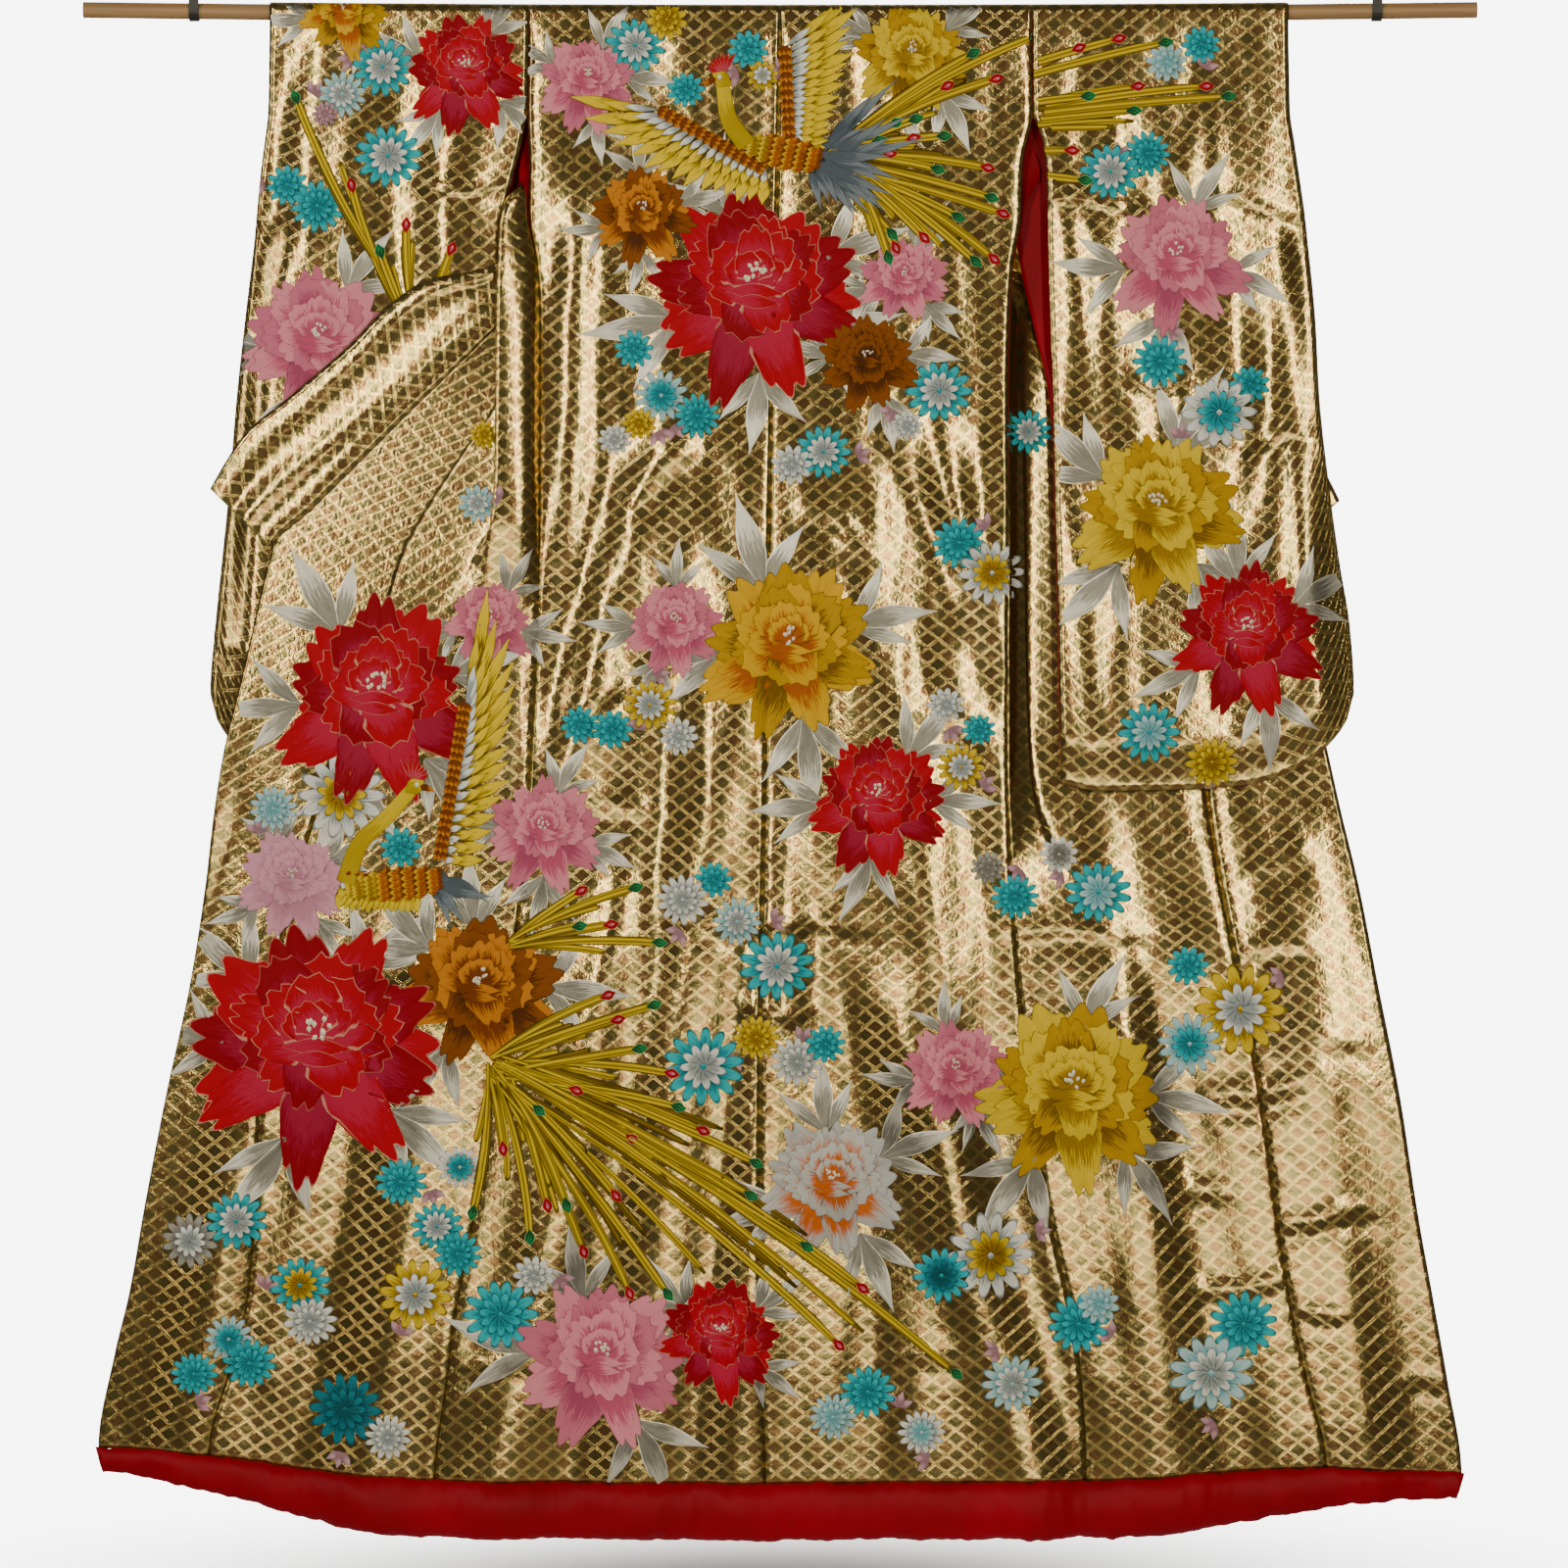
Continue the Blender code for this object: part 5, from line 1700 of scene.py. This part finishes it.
def head_of(canvas, head, face, order):
    """A crest, a head, a bill and an eye. face is 1 for a bird that looks towards +X."""
    small = {"columns": 4, "rows": 7}
    for number in range(7):
        rise = 90 + face * (20 - 15 * number)
        crest = (head[0], head[1] + 5)
        blade(canvas, crest, rise, 34 - 2 * number, 9, "red", order, 0.22 * face, **small)
    knot(canvas, head, 22, 30, 90 - face * 60, "neck", order + 1, 1.4)
    bill = (head[0] + face * 8, head[1])
    small = {"fullest": 0.2, "columns": 4, "rows": 6}
    blade(canvas, bill, 90 - face * 104, 22, 9, "orange", order + 2, -0.1 * face, **small)
    knot(canvas, (head[0] + face * 3, head[1] + 2), 6, 8, 90, "stamen", order + 3, 0.6)


def bird(canvas, spine, neck, wings, ruff, dice):
    """A phoenix. spine runs from the tail's root to the breast, and neck from the breast to the head."""
    tail, breast = spine
    ruff_of(canvas, tail, ruff, dice)
    for wrist, shoulder, first, last, long, short in wings:
        wing(canvas, wrist, shoulder, first, last, long, short, BIRD + 4, dice)
    scales_of(canvas, tail, breast, BIRD + 13)
    ribbon(canvas, neck, 26, 17, "neck", BIRD + 16)
    head_of(canvas, neck[-1], math.copysign(1, neck[-1][0] - breast[0]), BIRD + 16)


print("rows of scales to 110 mm", round(110 / BODY_SCALE))

# %% [markdown]
# The motifs are strewn as on the real cloth, each at its own place in millimetres from the middle of the
# pole, as an even spread would look machine made. The far side has a few flowers of its own.

# %% Where the peonies lie
PEONIES = {
    # canvas: x, z, radius, thread
    "sleeve_left": (
        (-568, 0, 58, "gold"), (-411, -77, 79, "red"), (-603, -429, 102, "pink"),
    ),
    "body": (
        (-251, -90, 64, "pink"), (172, -58, 77, "yellow"), (-33, -365, 141, "red"),
        (-180, -262, 64, "orange"), (161, -346, 58, "pink"), (114, -454, 64, "brown"),
        (-136, -800, 67, "pink"), (12, -832, 115, "gold"), (127, -1030, 92, "red"),
        (69, -1530, 96, "silver"), (-379, -794, 58, "pink"), (-526, -896, 134, "red"),
        (-635, -1133, 72, "pale pink"), (-308, -1069, 74, "pink"), (-392, -1274, 109, "orange"),
        (-603, -1350, 166, "red"), (-232, -1760, 113, "pink"), (-78, -1728, 79, "red"),
        (229, -1382, 70, "pink"), (383, -1414, 125, "yellow"),
    ),
    "sleeve_right": (
        (517, -324, 92, "pink"), (492, -653, 113, "yellow"), (609, -813, 96, "red"),
    ),
    "sleeve_left_far": (
        (-520, -250, 92, "red"), (-560, -560, 84, "pink"), (-500, -820, 96, "gold"),
    ),
    "sleeve_right_far": (
        (500, -180, 84, "pink"), (560, -480, 98, "yellow"),
    ),
    "fronts_far": (
        (-200, -120, 64, "red"), (206, -120, 64, "gold"),
    ),
}
print("peonies", sum(len(rows) for rows in PEONIES.values()))

# %% [markdown]
# The chrysanthemums are written down in the same way.

# %% Where the chrysanthemums lie
DAISIES = {
    # canvas: x, z, radius, outer thread, inner thread where it differs
    "sleeve_left": (
        (-518, -70, 41, "turq", "white"), (-571, -106, 32, "pale", "white"),
        (-511, -186, 45, "turq", "white"), (-643, -224, 28, "turq"), (-603, -252, 36, "turq"),
        (-558, -38, 19, "lilac"), (-593, -132, 18, "lilac"),
    ),
    "body": (
        (-189, -42, 41, "turq", "white"), (-148, -9, 28, "yellow"), (-42, -47, 28, "turq"),
        (-123, -100, 26, "turq"), (-23, -81, 22, "yellow", "white"), (207, -493, 45, "turq", "white"),
        (165, -538, 22, "white"), (-191, -438, 26, "turq"), (-155, -499, 36, "pale", "turq"),
        (-108, -525, 31, "turq"), (-184, -535, 23, "yellow"), (-216, -556, 23, "white"),
        (56, -572, 38, "turq", "white"), (15, -589, 28, "white"), (233, -691, 36, "turq"),
        (276, -730, 45, "white", "yellow"), (-170, -902, 36, "yellow", "white"), (-261, -928, 26, "turq"),
        (-219, -934, 28, "turq"), (-132, -943, 26, "white"), (216, -902, 26, "white"),
        (259, -934, 23, "turq"), (236, -983, 32, "yellow", "white"), (271, -1114, 23, "grey"),
        (306, -1152, 32, "turq"), (364, -1097, 26, "white", "grey"), (415, -1146, 45, "turq", "pale"),
        (-87, -1130, 26, "turq"), (-127, -1156, 35, "white"), (-56, -1184, 32, "pale", "white"),
        (-4, -1242, 51, "turq", "white"), (-100, -1373, 54, "turq", "white"), (-31, -1335, 32, "yellow"),
        (22, -1367, 35, "white"), (59, -1344, 27, "turq"), (-571, -1020, 58, "white", "yellow"),
        (-660, -1037, 32, "pale"), (-494, -1088, 28, "turq"), (-394, -640, 26, "pale", "white"),
        (-385, -550, 20, "yellow"), (-494, -1523, 35, "turq"), (-417, -1504, 31, "white", "turq"),
        (-447, -1581, 35, "turq", "white"), (-420, -1617, 32, "turq"), (-769, -1600, 38, "grey", "white"),
        (-708, -1574, 41, "turq", "white"), (-626, -1658, 41, "turq", "yellow"), (-613, -1706, 36, "white"),
        (-475, -1670, 49, "yellow", "white"), (-364, -1696, 51, "turq"), (-321, -1645, 28, "white"),
        (-718, -1728, 32, "pale", "turq"), (-763, -1773, 32, "turq"), (-692, -1760, 36, "turq"),
        (-567, -1820, 49, "teal"), (-511, -1856, 31, "white"), (114, -1798, 38, "turq"),
        (69, -1830, 32, "pale"), (184, -1850, 32, "white", "pale"), (532, -1242, 28, "turq"),
        (600, -1299, 61, "yellow", "white"), (534, -1344, 42, "pale", "turq"),
        (274, -1619, 58, "white", "yellow"), (210, -1645, 38, "turq", "teal"), (389, -1709, 41, "turq"),
        (415, -1683, 28, "pale"), (302, -1786, 41, "pale", "white"), (604, -1709, 45, "turq"),
        (562, -1773, 58, "pale", "white"), (325, -544, 31, "turq", "white"),
    ),
    "sleeve_right": (
        (549, -41, 26, "turq"), (504, -64, 28, "pale"), (479, -183, 31, "turq"),
        (430, -207, 41, "turq", "white"), (495, -454, 36, "turq"), (612, -484, 28, "turq"),
        (572, -521, 51, "white", "turq"), (481, -938, 42, "turq", "pale"), (563, -977, 36, "yellow"),
    ),
}
print("chrysanthemums", sum(len(rows) for rows in DAISIES.values()))

# %% [markdown]
# The tail plumes spring from a root under each bird and end in red or green eyes. A few loose ones lie on
# the left sleeve.

# %% Where the plumes and the birds lie
PLUMES = (
    # root (x, z), thread of the eyes, ends (x, z)
    (
        (69, -192),
        "red",
        (
            (390, -45), (442, -33), (218, -95), (282, -86), (122, -156), (174, -163), (143, -183),
            (271, -202), (291, -262), (188, -293), (151, -306), (279, -321), (381, -179), (467, -95),
            (556, -95),
        ),
    ),
    (
        (69, -192),
        "green",
        (
            (335, -29), (252, -52), (503, -38), (402, -108), (462, -127), (585, -108), (151, -143),
            (177, -138), (129, -166), (214, -160), (206, -204), (276, -241), (232, -266), (146, -288),
            (141, -319), (255, -324), (398, -218),
        ),
    ),
    ((-353, -1210), "red", ((-259, -1144), (-220, -1188))),
    (
        (-372, -1370),
        "red",
        (
            (-224, -1280), (-211, -1312), (-141, -1382), (-265, -1404), (-100, -1457), (-192, -1468),
            (-214, -1542), (-303, -1554), (-256, -1615), (-196, -1669), (108, -1663), (77, -1737),
            (-361, -1481),
        ),
    ),
    ((-353, -1210), "green", ((-188, -1140), (-261, -1190), (-157, -1212))),
    (
        (-372, -1370),
        "green",
        (
            (-164, -1293), (-183, -1350), (-132, -1426), (-314, -1430), (-31, -1499), (-38, -1541),
            (-278, -1554), (-326, -1596), (35, -1608), (-146, -1670), (230, -1774), (-401, -1564),
        ),
    ),
    ((-468, -403), "red", ((-559, -224), (-488, -275), (-428, -307))),
    ((-507, -378), "green", ((-632, -109),)),
    ((-468, -403), "green", ((-522, -310),)),
)
# A plume that starts beyond the first of these, or ends beyond the second, is sewn on a sleeve.
LEFT_SLEEVE_FROM = -450
RIGHT_SLEEVE_FROM = 340
BIRDS = (
    # canvas, spine, neck, wings (wrist, shoulder, angles, lengths), ruff (angles, count, length)
    (
        "body",
        ((48, -190), (-44, -168)),
        ((-44, -172), (-66, -140), (-72, -112), (-76, -86)),
        (
            ((-158, -126), (-20, -204), 178, 268, 122, 46),
            ((6, -44), (12, -170), 32, -14, 118, 48),
        ),
        ((-52, -4, 13, 118), (8, 56, 7, 130), (-80, -50, 5, 96)),
    ),
    (
        "body",
        ((-446, -1128), (-560, -1140)),
        ((-566, -1134), (-548, -1084), (-510, -1046), (-476, -1008)),
        (
            ((-410, -900), (-444, -1104), 74, -4, 150, 56),
            ((-566, -1126), (-486, -1136), 262, 296, 46, 38),
        ),
        ((-60, -20, 8, 70),),
    ),
)
print("plumes", sum(len(ends) for _, _, ends in PLUMES), "and birds", len(BIRDS))

# %% [markdown]
# A tail feather is a bright main plume between two shorter strands, with an eye at its tip. One plume
# alone would look like a twig, as the real tail is sewn so thickly that its strands overlap.

# %% A tail feather


def eye(canvas, x, z, angle, thread, order):
    knot(canvas, (x, z), 14, 22, angle, "eye red" if thread == "red" else thread, order, 1.0)
    knot(canvas, (x, z), 4.5, 10, angle, "pink" if thread == "red" else "green", order + 2, 0.8)


def tail_feather(canvas, root, end, thread, number, dice):
    """A main plume to its end, with a shorter strand on each side, and an eye at its tip."""
    run = math.dist(root, end)
    apart = dice.uniform(-16, 16)
    start_x = root[0] - apart * (end[1] - root[1]) / run
    start_z = root[1] + apart * (end[0] - root[0]) / run
    bow = dice.uniform(-0.04, 0.04) + 0.05
    tip = math.degrees(math.atan2(end[1] - start_z, end[0] - start_x)) - math.degrees(2 * bow)
    for lean, strand in ((-1, "feather"), (1, "olive")):
        turn = math.radians(dice.uniform(2.0, 5.0) * lean)
        share = dice.uniform(0.48, 0.86)
        out_x, out_z = (end[0] - start_x) * share, (end[1] - start_z) * share
        aside = (
            start_x + out_x * math.cos(turn) - out_z * math.sin(turn),
            start_z + out_x * math.sin(turn) + out_z * math.cos(turn),
        )
        plume(canvas, (start_x, start_z), aside, bow, 9, strand, TAIL + number, rows=18)
    plume(canvas, (start_x, start_z), end, bow, 12, "feather", TAIL + 500 + number)
    eye(canvas, *end, tip, thread, TAIL + 1000)


print("eyes are sewn at", TAIL + 1000)

# %% [markdown]
# Every motif has a die of its own, so one can be moved and all the others stay as they were.

# %% Embroidering the panels
# The first seed of each kind of motif.
PEONY_SEED, DAISY_SEED, PLUME_SEED, BIRD_SEED = 101, 501, 901, 7


def strewn(groups):
    """The rows of a table in their order, each with a running number and its canvas's name."""
    return enumerate((key, *row) for key, rows in groups.items() for row in rows)


for number, (key, x, z, radius, thread) in strewn(PEONIES):
    dice = random.Random(PEONY_SEED + number)
    if key != "fronts_far":
        leaf_spray(canvases[key], x, z, radius, dice, 3 + radius // 60)
    peony(canvases[key], x, z, radius, thread, dice, PEONY + 20 * number)
for number, (key, x, z, radius, *silks) in strewn(DAISIES):
    dice = random.Random(DAISY_SEED + number)
    if number % 2:
        turn = dice.uniform(0, 2 * math.pi)
        sprig(canvases[key], x + 1.15 * radius * math.cos(turn), z + 1.15 * radius * math.sin(turn), 22, dice)
    daisy(canvases[key], x, z, radius, silks[0], silks[-1], dice, SMALL_FLOWERS + 10 * number)
tails = [(root, end, thread) for root, thread, ends in PLUMES for end in ends]
for number, (root, end, thread) in enumerate(tails):
    key = "sleeve_right" if end[0] > RIGHT_SLEEVE_FROM else "body"
    key = "sleeve_left" if root[0] < LEFT_SLEEVE_FROM else key
    tail_feather(canvases[key], root, end, thread, number, random.Random(PLUME_SEED + number))
for number, (key, spine, neck, wings, ruff) in enumerate(BIRDS):
    bird(canvases[key], spine, neck, wings, ruff, random.Random(BIRD_SEED + number))
for canvas in canvases.values():
    add_embroidery(canvas)

# %% [markdown]
# Each panel was cut flat before it was sewn and hung, so its cut is stated with it: the width and the
# length along the cloth, and the area.

# %% The flat cuts
for node, panel in panels.items():
    width, length, area = cuts[panel.name]
    print(panel.name, "flat", round(width, 3), round(length, 3), "area", round(area, 3))

# %% [markdown]
# The room is a plain pale floor that fades out round the garment's shadow, so that no horizon shows.

# %% The floor
FLOOR_Z = -2.06
FLOOR_KEPT, FLOOR_GONE = 0.2, 1.4

floor_shape = bmesh.new()
bmesh.ops.create_grid(floor_shape, x_segments=1, y_segments=1, size=30)
bmesh.ops.translate(floor_shape, verts=floor_shape.verts, vec=(0, 0, FLOOR_Z))
floor_finish, floor_tree, floor_shader = new_material("pale floor")
floor_shader.inputs["Base Color"].default_value = rgba("f4f3f0")
floor_shader.inputs["Roughness"].default_value = 0.8
spot = add(floor_tree, "TexCoord", output="Object")
level_spot = add(floor_tree, "VectorMath", {0: spot, 1: (1.0, 1.0, 0.0)}, operation="MULTIPLY")
away = add(floor_tree, "VectorMath", {0: level_spot}, output=1, operation="LENGTH")
kept = {"Value": away, "From Min": FLOOR_KEPT, "From Max": FLOOR_GONE, "To Min": 1.0, "To Max": 0.0}
kept = add(floor_tree, "MapRange", kept, **SMOOTH)
floor_tree.links.new(kept, floor_shader.inputs["Alpha"])
add_object("floor", floor_shape, floor_finish)
print("floor at", FLOOR_Z)

# %% [markdown]
# Gold thread shows what it mirrors. So the sky is dim in front of the garment and glows behind and below
# it, where the cloth mirrors it from aside, and only the camera sees a plain pale backdrop.

# %% The sky
# The sky's strength and what the glow adds, then the directions between which the glow grows.
SKY_DIM, SKY_GLOW = 0.12, 0.36
GLOW_BEHIND = {"From Min": 0.05, "From Max": 0.55}
GLOW_BELOW = {"From Min": -0.28, "From Max": -0.48}

world = bpy.data.worlds.new("studio")
bpy.context.scene.world = world
world.use_nodes = True
sky = world.node_tree
sky.nodes.clear()
seen = add(sky, "LightPath", output="Is Camera Ray")
toward = add(sky, "SeparateXYZ", {0: add(sky, "TexCoord", output="Generated")}).node
behind = add(sky, "MapRange", {"Value": toward.outputs[1], **GLOW_BEHIND})
below = add(sky, "MapRange", {"Value": toward.outputs[2], **GLOW_BELOW})
glow = add(sky, "Math", {0: behind, 1: below}, operation="MAXIMUM")
glow = add(sky, "Math", {0: glow, 1: SKY_GLOW, 2: SKY_DIM}, operation="MULTIPLY_ADD")
dim = add(sky, "Background", {"Color": rgba("e8dcc8"), "Strength": glow})
pale = add(sky, "Background", {"Color": rgba("f4f4f2"), "Strength": 8.0})
both = add(sky, "MixShader", {0: seen, 1: dim, 2: pale})
out = sky.nodes.new("ShaderNodeOutputWorld")
sky.links.new(both, out.inputs[0])
print("sky steps", len(sky.nodes))

# %% [markdown]
# Foil shows its folds when it has both bright and dark things to mirror. Two tall narrow strips draw a
# bright line down each fold, and the other lamps keep the shade open.

# %% The lamps
LAMPS = (
    # name, place, aim, width, height, watts, colour
    ("left strip", (-1.5, -5.2, 0.3), (-0.1, 0.0, -0.9), 0.26, 2.8, 98, "fff2d4"),
    ("right strip", (1.9, -5.0, 0.1), (0.1, 0.0, -1.0), 0.24, 2.8, 94, "fff2d4"),
    ("high lamp", (-3.4, -3.2, 2.0), (0.0, 0.0, -0.8), 0.7, 0.7, 52, "f8f4f0"),
    ("left side lamp", (-5.2, -4.4, 0.6), (0.0, 0.0, -0.9), 0.8, 2.6, 70, "fff2d8"),
    ("low lamp", (0.6, -5.0, -1.9), (0.0, 0.0, -1.4), 2.2, 0.4, 24, "fff4dc"),
    ("back lamp", (1.5, 4.0, 1.2), (0.0, 0.0, -1.0), 2.4, 2.4, 110, "ffffff"),
)
for name, place, aim, width, height, watts, colour in LAMPS:
    light = bpy.data.lights.new(name, "AREA")
    light.shape = "RECTANGLE"
    light.size = width
    light.size_y = height
    light.energy = watts
    light.color = srgb(colour)
    lamp = bpy.data.objects.new(name, light)
    lamp.location = place
    lamp.rotation_euler = (Vector(aim) - Vector(place)).to_track_quat("-Z", "Y").to_euler()
    bpy.context.scene.collection.objects.link(lamp)
print("lamps", len(LAMPS))
